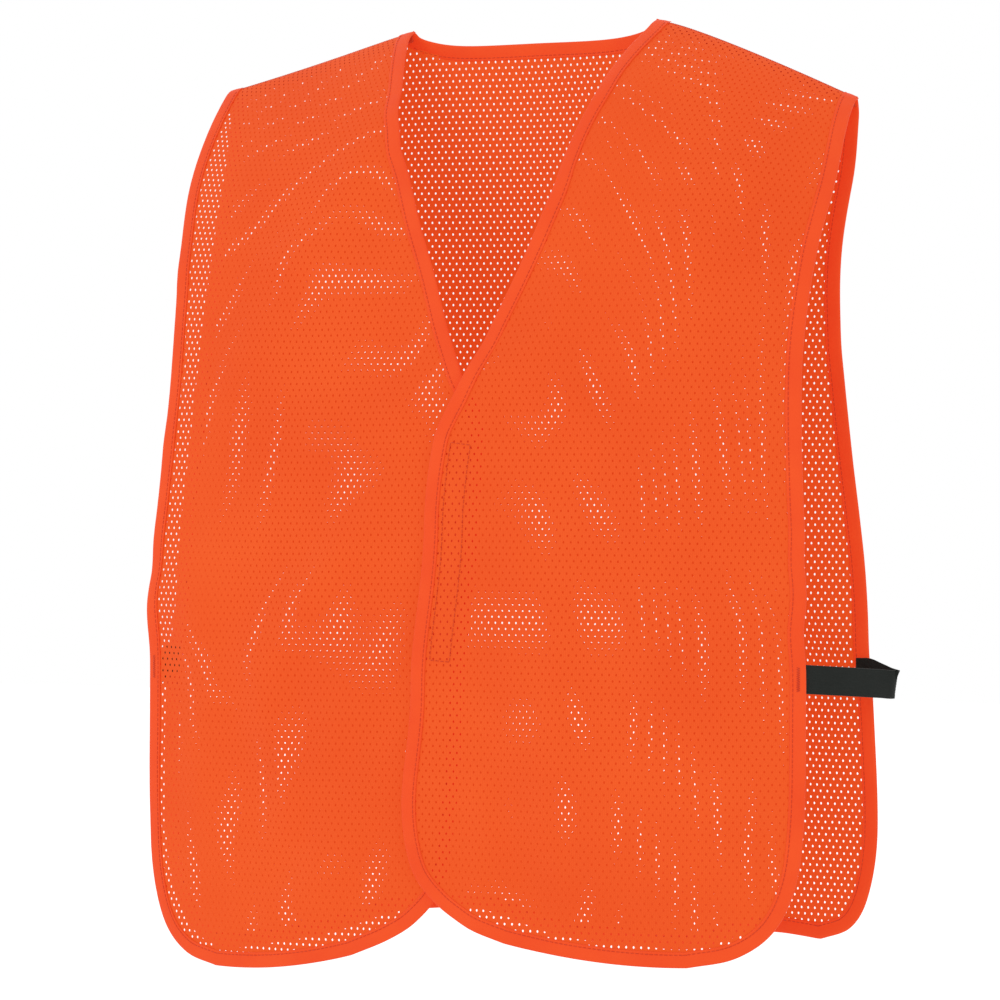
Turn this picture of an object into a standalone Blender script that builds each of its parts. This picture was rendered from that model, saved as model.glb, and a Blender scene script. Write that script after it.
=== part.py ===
"""High visibility vest of orange mesh, open at both sides, as it hangs on a wearer.

Metres, +Z up. The front faces -Y and the wearer's left is at +X. The origin is the
middle of the neck opening, level with the two points where the shoulder seams meet it.

Each panel is a height field over the X-Z plane: a point (x, z) of the cut cloth lies at
the depth y that the wearer's chest or back gives it. Panels are lofted between their inner
and outer edges, and the binding tape follows the panel's own edge points.
"""

import bpy
from math import atan2, cos, exp, pi, sin, sqrt
from mathutils import Vector

# Driving dimensions of the worn vest.
NECK_HALF_WIDTH = 0.093
SHOULDER_HALF_WIDTH = 0.238
SHOULDER_DROP = 0.051
SHOULDER_SOFTNESS = 0.02
FRONT_LENGTH = 0.643
BACK_LENGTH = 0.606
BACK_HANG = 0.007

# Depth of the chest and back behind which the panels hang.
FRONT_DEPTH = 0.150
FRONT_REACH = 0.100
FRONT_SIDE_FALL = 0.24
FRONT_ROUNDNESS = 2.4
BACK_SEAT = 0.0026
BACK_DEPTH = 0.014
BACK_REACH = 0.075
BACK_TURN = 0.068
BACK_TURN_WIDTH = 0.235
BACK_TURN_REACH = 0.090
BACK_TURN_EASE = 0.12
BACK_EASE_TOP = -0.30
BACK_EASE_SPAN = 0.30
BODY_HALF_WIDTH = 0.248

# Cloth, tape and thread.
MESH_THICKNESS = 0.0008
TAPE_THICKNESS = 0.0006
TAPE_WIDTH = 0.0095
TAPE_CLEARANCE = 0.0007
RING_WIDTH = 0.0105
TOP_RING_WIDTH = 1.08 * RING_WIDTH
CORNER_STEP = 0.004
GAP = 0.0003
THREAD = 0.0005
STITCH_WIDTH = 0.0007
STITCH_INSET = 0.0072
TAPE_OUTSIDE = MESH_THICKNESS / 2 + TAPE_CLEARANCE + TAPE_THICKNESS

# Closing: the left front lies over the right front.
OVERLAP_LIFT = 0.0028
OVERLAP_CORE = 0.030
OVERLAP_FADE = 0.120
FASTENER_WIDTH = 0.019
FASTENER_ASIDE = 0.0023
FASTENER_TOP = -0.291
FASTENER_LENGTH = 0.150
FASTENER_THICKNESS = 0.0011
FASTENER_STITCH_INSET = 0.0022

# Side straps of black elastic.
STRAP_WIDTH = 0.019
STRAP_THICKNESS = 0.0012
STRAP_HEIGHT_FRONT = -0.447
STRAP_HEIGHT_FOLD = -0.453
STRAP_HEIGHT_BACK = -0.444
STRAP_FOLD = {"left": (0.2826, -0.0515), "right": (0.2705, -0.0515)}
STRAP_FOLD_RADIUS = {"left": 0.0035, "right": 0.0020}
STRAP_TONGUE = 0.0085
STRAP_CLEARANCE = 0.0018
STRAP_GAP = 0.0008
TACK_LENGTH = 0.0150
TACK_WIDTH = 0.0018
TACK_INSET = 0.0038

# Shoulder seams.
SEAM_DEPTH = 0.0070
SEAM_HALF_THICKNESS = 0.0008
SEAM_PLACE = -0.0008
FRONT_SEAM_DROP = 0.0030
BACK_SEAM_DROP = 0.0030
SEAM_END_MARGIN = 0.0015
SEAM_SPANS = 12

# Room between a front's turning axis and the strap and shoulder that it passes.
HINGE_CLEARANCE = 0.0015

# Each front hangs a little differently: the right one lower than the left one.
HANG = {"left": 0.007, "right": -0.007}
SIDE_SIGN = {"left": 1.0, "right": -1.0}

FRONT_ROWS = 28
FRONT_COLUMNS = 11
BACK_ROWS = 26
NECK_COLUMNS = 10
SHOULDER_COLUMNS = 5
ROW_CROWDING = 0.5
HEM_BLEND = 3
CROWN_BLEND = 6
SLOPE_STEP = 0.0005

# Line where the fronts meet, as (sideways place, height).
CLOSING_LINE = [(0.0, 0.02), (0.001, -0.02), (0.0115, -0.18), (0.0105, -0.25), (0.003, -0.35),
                (-0.006, -0.46), (-0.013, -0.56), (-0.014, -0.68)]

# Edges of a front, as (distance outward from the closing line, height).
FRONT_INNER_EDGE = [(0.093, -0.003), (0.083, -0.030), (0.067, -0.082), (0.048, -0.140), (0.024, -0.197),
                    (0.001, -0.245), (-0.0130, -0.277), (-0.0172, -0.305), (-0.0172, -0.400),
                    (-0.0172, -0.480), (-0.0172, -0.540), (-0.0095, -0.582), (0.0080, -0.605),
                    (0.0300, -0.6190), (0.0600, -0.6300)]
FRONT_OUTER_EDGE = [(0.238, -0.051), (0.2405, -0.110), (0.2350, -0.170), (0.2325, -0.240),
                    (0.2370, -0.320), (0.2430, -0.400), (0.2425, -0.480), (0.2415, -0.545),
                    (0.2370, -0.588), (0.2250, -0.618), (0.2040, -0.6355), (0.1760, -0.6425)]
FRONT_HEM_BULGE = 0.004

# Outer edge of the back from shoulder tip to hem, as (distance from the middle, height).
BACK_OUTER_EDGE = [(0.2380, -0.052), (0.2385, -0.102), (0.2375, -0.164), (0.2415, -0.223), (0.2510, -0.301),
                   (0.2600, -0.369), (0.2645, -0.438), (0.2660, -0.497), (0.2645, -0.556), (0.2570, -0.593),
                   (0.2440, -0.614), (0.2225, -0.622)]
BACK_NECK_DIP = 0.012
BACK_NECK_SQUARENESS = 5

# Two lobes where the back's hem hangs lower, as (sideways place, half width, drop).
HEM_LOBES = [(0.065, 0.090, 0.024), (-0.185, 0.065, 0.012)]
HEM_LOBE_RISE = 8


def soft_ramp(s):
    return 0.5 * (s + sqrt(s * s + SHOULDER_SOFTNESS))


def shoulder_height(x):
    """Height of the shoulder line, level over the neck and sloping to the shoulder tips."""
    s = (abs(x) - NECK_HALF_WIDTH) / (SHOULDER_HALF_WIDTH - NECK_HALF_WIDTH)
    return -SHOULDER_DROP * (soft_ramp(s) - soft_ramp(0.0))


def fall(x, z, reach):
    """How far the body has filled out, from 0 at the shoulder line to 1 well below it."""
    return 1.0 - exp(-max(shoulder_height(x) - z, 0.0) / reach)


def smooth_step(s):
    s = min(max(s, 0.0), 1.0)
    return s * s * (3.0 - 2.0 * s)


def body_front(x, z):
    rounding = 1.0 - FRONT_SIDE_FALL * (abs(x) / BODY_HALF_WIDTH) ** FRONT_ROUNDNESS
    return -FRONT_DEPTH * fall(x, z, FRONT_REACH) * rounding


def body_back(x, z):
    """The back hangs nearly flat: its middle is a little behind the shoulders, its sides turn forward."""
    drop = max(shoulder_height(x) - z, 0.0)
    turned = 1.0 - exp(-((drop / BACK_TURN_REACH) ** 1.5))
    eased = 1.0 - BACK_TURN_EASE * smooth_step((BACK_EASE_TOP - z) / BACK_EASE_SPAN)
    turn = BACK_TURN * turned * eased * smooth_step(abs(x) / BACK_TURN_WIDTH)
    return BACK_SEAT + BACK_DEPTH * fall(x, z, BACK_REACH) - turn


def piecewise(points, z):
    """Sideways place of a line of (place, height) points at a height, with soft corners."""
    for (x0, z0), (x1, z1) in zip(points, points[1:]):
        if z >= z1:
            return x0 + (x1 - x0) * smooth_step((z0 - z) / (z0 - z1))
    return points[-1][0]


def closing_x(z):
    return piecewise(CLOSING_LINE, z)


class Surface:
    """The middle surface of one panel, given by its depth function."""

    def __init__(self, depth, outward):
        self.depth = depth
        self.outward = outward

    def normal(self, x, z):
        step = SLOPE_STEP
        slope_x = (self.depth(x + step, z) - self.depth(x - step, z)) / (2 * step)
        slope_z = (self.depth(x, z + step) - self.depth(x, z - step)) / (2 * step)
        return Vector((-slope_x, 1.0, -slope_z)).normalized() * self.outward

    def point(self, x, z, offset=0.0):
        place = Vector((x, self.depth(x, z), z))
        return place + self.normal(x, z) * offset if offset else place


def front_surface(side):
    """The front's surface, lifted off the other front where the two overlap."""
    lift = OVERLAP_LIFT * SIDE_SIGN[side]

    def depth(x, z):
        away = (abs(x - closing_x(z)) - OVERLAP_CORE) / (OVERLAP_FADE - OVERLAP_CORE)
        return body_front(x, z) - lift * (1.0 - smooth_step(away))

    return Surface(depth, -1.0)


BACK_SURFACE = Surface(body_back, 1.0)


def through(points, fractions, steps=16):
    """Points at fractions of the length of a smooth curve through the given points."""
    ends = [Vector(p) for p in points]
    ends = [2 * ends[0] - ends[1]] + ends + [2 * ends[-1] - ends[-2]]
    dense = []
    for a, b, c, d in zip(ends, ends[1:], ends[2:], ends[3:]):
        for step in range(steps):
            t = step / steps
            dense.append(0.5 * (2 * b + (c - a) * t + (2 * a - 5 * b + 4 * c - d) * t ** 2
                                + (3 * b - a - 3 * c + d) * t ** 3))
    dense.append(ends[-2])
    lengths = [0.0]
    for a, b in zip(dense, dense[1:]):
        lengths.append(lengths[-1] + (b - a).length)
    found = []
    k = 0
    for fraction in fractions:
        target = fraction * lengths[-1]
        while k < len(dense) - 2 and lengths[k + 1] < target:
            k += 1
        share = (target - lengths[k]) / (lengths[k + 1] - lengths[k])
        found.append(dense[k].lerp(dense[k + 1], share))
    return found


def row_fractions(rows, length):
    """Rows closer together at the shoulder and at the hem, where the cloth turns most."""
    places = [row / rows for row in range(rows + 1)]
    fractions = [s - ROW_CROWDING * sin(2 * pi * s) / (2 * pi) for s in places]
    fractions[-2] = 1.0 - CORNER_STEP / length
    return fractions


def inset(before, at, after, aim):
    """The point a ring's width inside an edge point, square to the edge, on the side of aim."""
    along = (after - before).normalized()
    square = Vector((-along.y, along.x))
    if square.dot(aim - at) < 0:
        square = -square
    return at + square * RING_WIDTH


def lofted_grid(left, right, hem, top):
    """Rows of points between two edges. A ring of cells as wide as the tape runs inside the edges.

    Left and right run down from the top row, and the hem joins their ends. All are (x, z) points.
    """
    last = len(left) - 1
    columns = len(hem)
    heart = (left[last // 2] + right[last // 2]) / 2

    def ring(edge, onward):
        path = edge + [onward]
        return [inset(path[max(j - 1, 0)], path[j], path[j + 1], heart) for j in range(len(edge))]

    left_ring = ring(left, hem[1])
    right_ring = ring(right, hem[-2])
    hem_ring = [inset(hem[i - 1], hem[i], hem[i + 1], heart) for i in range(2, columns - 2)]
    low = [left_ring[last]] + hem_ring + [right_ring[last]]
    left_ring[last - 1], right_ring[last - 1] = low[0], low[-1]
    left_ring[0], right_ring[0] = top[1], top[-2]
    grid = [top]
    for j in range(1, last):
        fraction = (j / (last - 1)) ** HEM_BLEND
        crown = (1.0 - j / (last - 1)) ** CROWN_BLEND
        row = [left[j]]
        for i in range(1, columns - 1):
            share = (top[i].x - top[1].x) / (top[-2].x - top[1].x)
            place = left_ring[j].lerp(right_ring[j], share)
            low_share = low[0].lerp(low[-1], share)
            top_share = top[1].lerp(top[-2], share)
            row.append(place + (low[i - 1] - low_share) * fraction + (top[i] - top_share) * crown)
        grid.append(row + [right[j]])
    grid.append(hem)
    return grid


def ring_shares(ring, columns):
    """Places across a row, from 0 to 1: evenly spaced, but for a ring cell at each end."""
    spans = columns - 2
    return [0.0] + [ring + (1 - 2 * ring) * i / spans for i in range(spans + 1)] + [1.0]


def front_grid(side):
    """Rows of (x, z) from shoulder to hem, each from the inner edge to the outer edge."""
    sign = SIDE_SIGN[side]
    fractions = row_fractions(FRONT_ROWS, FRONT_LENGTH)
    inner = through(FRONT_INNER_EDGE, fractions)
    outer = through(FRONT_OUTER_EDGE, fractions)
    top = []
    for share in ring_shares(TOP_RING_WIDTH / (outer[0] - inner[0]).length, FRONT_COLUMNS):
        place = inner[0].lerp(outer[0], share)
        top.append(Vector((place.x, shoulder_height(place.x) - FRONT_SEAM_DROP)))
    inner[0], outer[0] = top[0], top[-1]
    bulge = Vector((0.0, -4.0 * FRONT_HEM_BULGE))
    hem = []
    for share in ring_shares(CORNER_STEP / (outer[-1] - inner[-1]).length, FRONT_COLUMNS):
        hem.append(inner[-1].lerp(outer[-1], share) + bulge * share * (1.0 - share))
    grid = []
    for row in lofted_grid(inner, outer, hem, top):
        worn = []
        for place in row:
            x = sign * place.x
            x += closing_x(place.y) * (1.0 - (x / BODY_HALF_WIDTH) ** 2)
            worn.append((x, place.y + HANG[side] * (place.y / FRONT_LENGTH) ** 2))
        grid.append(worn)
    return grid


def back_top(x):
    """Top edge of the back: the shoulder seams, and the dip of the neckline between them."""
    if abs(x) >= NECK_HALF_WIDTH:
        return shoulder_height(x) - BACK_SEAM_DROP
    squareness = (abs(x) / NECK_HALF_WIDTH) ** BACK_NECK_SQUARENESS
    return -BACK_SEAM_DROP - BACK_NECK_DIP * (1.0 - squareness)


def back_shares(edge_step):
    """Places across the back's half width, from -1 to 1, with a column at each neck point."""
    neck = NECK_HALF_WIDTH / SHOULDER_HALF_WIDTH
    ring = 1.0 - edge_step
    middle = [neck * sin(0.5 * pi * (2 * i / NECK_COLUMNS - 1)) for i in range(NECK_COLUMNS + 1)]
    spans = SHOULDER_COLUMNS - 1
    right = [neck + (ring - neck) * (i + 1) / spans for i in range(spans)] + [1.0]
    return [-share for share in reversed(right)] + middle + right


def hem_sag(x):
    """How much lower the back's hem hangs at a sideways place."""
    return sum(drop * exp(-((x - place) / half) ** 4) for place, half, drop in HEM_LOBES)


def back_grid():
    """Rows of (x, z) from the shoulders and neckline to the hem, from the wearer's right to left."""
    right_edge = through(BACK_OUTER_EDGE, row_fractions(BACK_ROWS, BACK_LENGTH))
    top = []
    for share in back_shares(TOP_RING_WIDTH / SHOULDER_HALF_WIDTH):
        x = SHOULDER_HALF_WIDTH * share
        top.append(Vector((x, back_top(x))))
    hem_end = right_edge[-1]
    hem = []
    for share in back_shares(CORNER_STEP / hem_end.x):
        drop = (BACK_LENGTH + hem_end.y) * (1.0 - share * share)
        hem.append(Vector((hem_end.x * share, hem_end.y - drop)))
    right_edge[0] = top[-1]
    left_edge = [Vector((-place.x, place.y)) for place in right_edge]
    grid = []
    for row in lofted_grid(left_edge, right_edge, hem, top):
        worn = []
        for place in row:
            aside = 1.0 - place.x / BODY_HALF_WIDTH
            share = -place.y / BACK_LENGTH
            drop = BACK_HANG * aside * share ** 2 + hem_sag(place.x) * share ** HEM_LOBE_RISE
            worn.append((place.x, place.y - drop))
        grid.append(worn)
    return grid


def material(name, colour, roughness):
    made = bpy.data.materials.new(name)
    made.use_nodes = True
    shader = made.node_tree.nodes["Principled BSDF"]
    shader.inputs["Base Color"].default_value = (*colour, 1.0)
    shader.inputs["Roughness"].default_value = roughness
    shader.inputs["Metallic"].default_value = 0.0
    made.diffuse_color = (*colour, 1.0)
    return made


def add_object(name, vertices, faces, kind, thickness=None):
    """A mesh object in the vest's collection; a thickness makes a shell of an open surface."""
    mesh = bpy.data.meshes.new(name)
    mesh.from_pydata([tuple(v) for v in vertices], [], faces)
    mesh.validate()
    mesh.materials.append(kind)
    made = bpy.data.objects.new(name, mesh)
    VEST.objects.link(made)
    if thickness:
        shell = made.modifiers.new("thickness", "SOLIDIFY")
        shell.thickness = thickness
        shell.offset = 0.0
        shell.use_even_offset = True
    mesh.shade_smooth()
    return made


def set_axis(made, head, tail, name):
    """Parents a moving piece to an empty whose Z axis is the piece's turning axis."""
    empty = bpy.data.objects.get(name)
    if empty is None:
        empty = bpy.data.objects.new(name, None)
        VEST.objects.link(empty)
        empty.location = head
        empty.rotation_mode = "QUATERNION"
        empty.rotation_quaternion = (tail - head).to_track_quat("Z", "Y")
        bpy.context.view_layer.update()
    made.parent = empty
    made.matrix_parent_inverse = empty.matrix_world.inverted()


def sheet_faces(rows, columns, flip):
    faces = []
    for j in range(rows - 1):
        for i in range(columns - 1):
            corner = j * columns + i
            face = (corner, corner + columns, corner + columns + 1, corner + 1)
            faces.append(face[::-1] if flip else face)
    return faces


def panel(name, grid, surface, flip, kind):
    vertices = [surface.point(x, z) for row in grid for x, z in row]
    faces = sheet_faces(len(grid), len(grid[0]), flip)
    return add_object(name, vertices, faces, kind, MESH_THICKNESS)


def ring_path(grid, top=False):
    """(edge, inward) pairs of (x, z), down the first column, along the hem and up the last.

    With top set, they run along the neckline in the top row instead.
    """
    last = len(grid) - 1
    end = len(grid[0]) - 1
    if top:
        start = SHOULDER_COLUMNS
        return [(grid[0][i], grid[1][i]) for i in range(start, end - start + 1)]
    down = [(grid[j][0], grid[j][1]) for j in range(last)]
    hem = [(grid[last][0], grid[last - 1][1])]
    hem += [(grid[last][i], grid[last - 1][i]) for i in range(1, end)]
    hem += [(grid[last][end], grid[last - 1][end - 1])]
    rise = [(grid[j][end], grid[j][end - 1]) for j in range(last - 1, -1, -1)]
    return down + hem + rise


def sweep(name, frames, profile, kind, closed=False):
    """A closed body: one outline of (inward, outward) places carried along the frames."""
    count = len(profile)
    vertices = []
    for place, inward, outward in frames:
        vertices += [place + inward * b + outward * h for b, h in profile]
    faces = []
    spans = len(frames) if closed else len(frames) - 1
    for j in range(spans):
        this = j * count
        following = ((j + 1) % len(frames)) * count
        for i in range(count):
            after = (i + 1) % count
            faces.append((this + i, following + i, following + after, this + after))
    if not closed:
        faces.append(tuple(range(count)))
        faces.append(tuple(reversed(range(len(vertices) - count, len(vertices)))))
    made = add_object(name, vertices, faces, kind)
    outward_faces(made)
    return made


def outward_faces(made):
    """Turns the faces outward if the outline was carried the other way round."""
    volume = 0.0
    points = [v.co for v in made.data.vertices]
    for face in made.data.polygons:
        corners = [points[i] for i in face.vertices]
        for b, c in zip(corners[1:], corners[2:]):
            volume += corners[0].dot(b.cross(c))
    if volume < 0:
        made.data.flip_normals()


def edge_frames(path, surface, inset_by=0.0, lift=0.0):
    """(place, inward, outward) at each edge point, moved inward along the cloth and off it.

    Inward is stretched so that widths measured along it come out square to the edge.
    """
    edges = [surface.point(x, z) for (x, z), _ in path]
    frames = []
    for k, ((x, z), (inner_x, inner_z)) in enumerate(path):
        along = edges[min(k + 1, len(edges) - 1)] - edges[max(k - 1, 0)]
        inward = (surface.point(inner_x, inner_z) - edges[k]).normalized()
        square = along.cross(surface.normal(x, z)).normalized()
        outward = surface.normal(x, z)
        outward = (outward - inward * outward.dot(inward)).normalized()
        inward = inward / abs(inward.dot(square))
        frames.append((edges[k] + inward * inset_by + outward * lift, inward, outward))
    return frames


def binding(name, path, surface, kind):
    """Tape folded over an edge: a U of two legs and the fold, with the cloth's edge inside it."""
    inner = MESH_THICKNESS / 2 + TAPE_CLEARANCE
    outer = inner + TAPE_THICKNESS
    fold = -GAP
    profile = [(TAPE_WIDTH - TAPE_THICKNESS, outer), (fold - TAPE_THICKNESS, outer),
               (fold - TAPE_THICKNESS, -outer), (TAPE_WIDTH - TAPE_THICKNESS, -outer),
               (TAPE_WIDTH - TAPE_THICKNESS, -inner), (fold, -inner), (fold, inner),
               (TAPE_WIDTH - TAPE_THICKNESS, inner)]
    return sweep(name, edge_frames(path, surface), profile, kind)


def bar_profile(width, thickness):
    return [(-width / 2, -thickness / 2), (width / 2, -thickness / 2), (width / 2, thickness / 2),
            (-width / 2, thickness / 2)]


def binding_stitch(name, path, surface, kind):
    """The line of lockstitch that holds the tape, lying on its outside, short of its ends."""
    lift = TAPE_OUTSIDE + GAP + THREAD / 2
    frames = edge_frames(path, surface, STITCH_INSET, lift)[1:-1]
    return sweep(name, frames, bar_profile(STITCH_WIDTH, THREAD), kind)


def fastener_grid(aside, margin=0.0, columns=3, rows=9):
    """Rows of (x, z) over a strip that lies aside of the closing line, less a margin all round."""
    top = FASTENER_TOP - margin
    height = FASTENER_LENGTH - 2 * margin
    half = FASTENER_WIDTH / 2 - margin
    grid = []
    for j in range(rows):
        z = top - height * j / (rows - 1)
        middle = closing_x(z) + aside
        grid.append([(middle + half * (2 * i / (columns - 1) - 1), z) for i in range(columns)])
    return grid


def fastener(name, surface, aside, offset, kind):
    """One half of the hook-and-loop closing, a flat strip on a front's face."""
    grid = fastener_grid(aside)
    vertices = [surface.point(x, z, offset) for row in grid for x, z in row]
    faces = sheet_faces(len(grid), len(grid[0]), False)
    return add_object(name, vertices, faces, kind, FASTENER_THICKNESS)


def fastener_stitch(name, surface, aside, offset, kind):
    """A closed frame of stitching just inside the strip's edges."""
    grid = fastener_grid(aside, FASTENER_STITCH_INSET)
    rows = len(grid)
    loop = [grid[j][0] for j in range(rows)] + [grid[rows - 1][1]]
    loop += [grid[j][2] for j in range(rows - 1, -1, -1)] + [grid[0][1]]
    middle_z = FASTENER_TOP - FASTENER_LENGTH / 2
    centre = Vector((closing_x(middle_z) + aside, middle_z))
    frames = []
    count = len(loop)
    for k, (x, z) in enumerate(loop):
        before = surface.point(*loop[k - 1])
        after = surface.point(*loop[(k + 1) % count])
        outward = surface.normal(x, z)
        inward = outward.cross(after - before).normalized()
        to_centre = Vector((centre.x - x, 0.0, centre.y - z))
        if inward.dot(to_centre) < 0:
            inward = -inward
        frames.append((surface.point(x, z, offset), inward, outward))
    return sweep(name, frames, bar_profile(STITCH_WIDTH, THREAD), kind, closed=True)


def edge_at(grid, column, z):
    """The (x, z) of an edge column at a height."""
    places = [row[column] for row in grid]
    for (x0, z0), (x1, z1) in zip(places, places[1:]):
        if z0 >= z >= z1:
            share = (z0 - z) / (z0 - z1)
            return x0 + (x1 - x0) * share
    raise ValueError("height outside the edge")


def sewn_end(surface, grid, column, z, sign):
    """Where a strap's sewn end crosses a panel's edge: (edge place, inward, outward)."""
    x = edge_at(grid, column, z)
    edge = surface.point(x, z)
    inward = (surface.point(x - sign * RING_WIDTH, z) - edge).normalized()
    outward = surface.normal(x, z)
    outward = (outward - inward * outward.dot(inward)).normalized()
    return edge, inward, outward


def round_corner(a, corner, b, radius, steps=4):
    """Points of an arc that rounds the corner between a and b, in plan."""
    back = (a - corner).normalized()
    on = (b - corner).normalized()
    half = 0.5 * back.angle(on)
    reach = radius / max(sin(half) / cos(half), 1e-6)
    centre = corner + (back + on).normalized() * (radius / sin(half))
    first = corner + back * reach
    last = corner + on * reach
    start = first - centre
    sweep_angle = pi - 2 * half
    turn = 1.0 if start.x * (last - centre).y - start.y * (last - centre).x > 0 else -1.0
    begin = atan2(start.y, start.x)
    angles = [begin + turn * sweep_angle * i / steps for i in range(steps + 1)]
    return [centre + Vector((cos(angle), sin(angle))) * radius for angle in angles]


def strap_ends(side):
    """The front and back sewn ends of a strap, on the inside of the tape of both panels."""
    sign = SIDE_SIGN[side]
    front = sewn_end(front_surface(side), FRONT_GRID[side], -1, STRAP_HEIGHT_FRONT, sign)
    column = -1 if sign > 0 else 0
    back = sewn_end(BACK_SURFACE, BACK_GRID, column, STRAP_HEIGHT_BACK, sign)
    return front, back


def strap_anchor(end):
    """The middle of the strap where it passes a panel's edge."""
    edge, _, outward = end
    return edge - outward * (TAPE_OUTSIDE + STRAP_GAP + STRAP_THICKNESS / 2)


def strap(side, kind):
    """Elastic sewn inside both panels' edges, folded outward where it is slack."""
    sign = SIDE_SIGN[side]
    front, back = strap_ends(side)
    fold = Vector((sign * STRAP_FOLD[side][0], STRAP_FOLD[side][1]))
    start, finish = strap_anchor(front), strap_anchor(back)
    start_out = start - front[1] * STRAP_CLEARANCE
    finish_out = finish - back[1] * STRAP_CLEARANCE
    corner = round_corner(start_out.xy, fold, finish_out.xy, STRAP_FOLD_RADIUS[side])
    plan = [(start + front[1] * STRAP_TONGUE).xy, start.xy, start_out.xy]
    plan += [start_out.xy.lerp(corner[0], share) for share in (0.25, 0.5, 0.75)]
    plan += corner
    plan += [corner[-1].lerp(finish_out.xy, 0.5), finish_out.xy, finish.xy]
    plan.append((finish + back[1] * STRAP_TONGUE).xy)
    lengths = [0.0]
    for a, b in zip(plan, plan[1:]):
        lengths.append(lengths[-1] + (b - a).length)
    middle = lengths[plan.index(corner[2])]
    frames = []
    for k, place in enumerate(plan):
        if lengths[k] <= middle:
            share = smooth_step(lengths[k] / middle)
            z = STRAP_HEIGHT_FRONT + (STRAP_HEIGHT_FOLD - STRAP_HEIGHT_FRONT) * share
        else:
            share = smooth_step((lengths[k] - middle) / (lengths[-1] - middle))
            z = STRAP_HEIGHT_FOLD + (STRAP_HEIGHT_BACK - STRAP_HEIGHT_FOLD) * share
        before = plan[max(k - 1, 0)]
        after = plan[min(k + 1, len(plan) - 1)]
        along = (place - before).normalized() if k else (after - place).normalized()
        onward = (after - place).normalized() if k < len(plan) - 1 else along
        across = Vector((-(along + onward).y, (along + onward).x)).normalized()
        stretch = 1.0 / max(across.dot(Vector((-along.y, along.x))), 0.5)
        frames.append((Vector((*place, z)), Vector((0, 0, 1)), Vector((*(across * stretch), 0))))
    return sweep(side + "_side_strap", frames, bar_profile(STRAP_WIDTH, STRAP_THICKNESS), kind)


def bar_tack(name, end, kind):
    """A short bar of dense stitches across the tape, over the strap's sewn end."""
    edge, inward, outward = end
    along = inward.cross(outward)
    place = edge + inward * TACK_INSET + outward * (TAPE_OUTSIDE + GAP + THREAD / 2)
    frames = [(place + along * (TACK_LENGTH * share), inward, outward) for share in (-0.5, 0.5)]
    return sweep(name, frames, bar_profile(TACK_WIDTH, THREAD), kind)


def shoulder_seam(side, kind):
    """The overlocked seam allowance, a thin ridge inside the shoulder."""
    sign = SIDE_SIGN[side]
    start = NECK_HALF_WIDTH + SEAM_END_MARGIN
    finish = SHOULDER_HALF_WIDTH - SEAM_END_MARGIN
    frames = []
    for k in range(SEAM_SPANS + 1):
        x = start + (finish - start) * k / SEAM_SPANS
        place = Vector((sign * x, SEAM_PLACE, shoulder_height(x) - SEAM_DEPTH / 2))
        frames.append((place, Vector((0, 1, 0)), Vector((0, 0, 1))))
    profile = bar_profile(2 * SEAM_HALF_THICKNESS, SEAM_DEPTH)
    return sweep(side + "_shoulder_seam", frames, profile, kind)


for old in list(bpy.data.objects):
    bpy.data.objects.remove(old)
VEST = bpy.data.collections.new("high_visibility_vest")
bpy.context.scene.collection.children.link(VEST)

MESH_CLOTH = material("orange_mesh", (0.88, 0.12, 0.015), 0.75)
TAPE = material("orange_tape", (0.86, 0.09, 0.012), 0.6)
ORANGE_THREAD = material("orange_thread", (0.80, 0.08, 0.015), 0.55)
HOOKS = material("orange_hooks", (0.70, 0.07, 0.012), 0.5)
LOOPS = material("orange_loops", (0.74, 0.09, 0.015), 0.9)
ELASTIC = material("black_elastic", (0.012, 0.016, 0.013), 0.7)

FRONT_GRID = {side: front_grid(side) for side in SIDE_SIGN}
BACK_GRID = back_grid()

panel("back_panel", BACK_GRID, BACK_SURFACE, False, MESH_CLOTH)
binding("back_outer_binding", ring_path(BACK_GRID), BACK_SURFACE, TAPE)
binding("back_neck_binding", ring_path(BACK_GRID, top=True), BACK_SURFACE, TAPE)
binding_stitch("back_outer_stitching", ring_path(BACK_GRID), BACK_SURFACE, ORANGE_THREAD)
binding_stitch("back_neck_stitching", ring_path(BACK_GRID, top=True), BACK_SURFACE, ORANGE_THREAD)

for side, sign in SIDE_SIGN.items():
    surface = front_surface(side)
    grid = FRONT_GRID[side]
    front_end, back_end = strap_ends(side)
    hinge_foot = strap_anchor(front_end) - front_end[1] * HINGE_CLEARANCE
    hinge_x = sign * (SHOULDER_HALF_WIDTH + HINGE_CLEARANCE)
    hinge_head = Vector((hinge_x, 0.0, shoulder_height(SHOULDER_HALF_WIDTH)))
    path = ring_path(grid)
    moving = [
        panel(side + "_front_panel", grid, surface, sign < 0, MESH_CLOTH),
        binding(side + "_front_binding", path, surface, TAPE),
        binding_stitch(side + "_front_stitching", path, surface, ORANGE_THREAD),
        bar_tack(side + "_front_bar_tack", front_end, ORANGE_THREAD),
    ]
    # The hooks face inward under the left front, and the loops outward on the right front.
    strip, strip_kind = ("hook_strip", HOOKS) if sign > 0 else ("loop_strip", LOOPS)
    aside = sign * FASTENER_ASIDE
    to_strip = -sign * (MESH_THICKNESS / 2 + GAP + FASTENER_THICKNESS / 2)
    to_stitch = sign * (MESH_THICKNESS / 2 + GAP + THREAD / 2)
    moving.append(fastener(strip, surface, aside, to_strip, strip_kind))
    moving.append(fastener_stitch(strip + "_stitching", surface, aside, to_stitch, ORANGE_THREAD))
    for made in moving:
        set_axis(made, hinge_foot, hinge_head, side + "_front_axis")
    bar_tack(side + "_back_bar_tack", back_end, ORANGE_THREAD)
    set_axis(strap(side, ELASTIC), strap_anchor(front_end), strap_anchor(back_end), side + "_strap_axis")
    shoulder_seam(side, ORANGE_THREAD)
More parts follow.
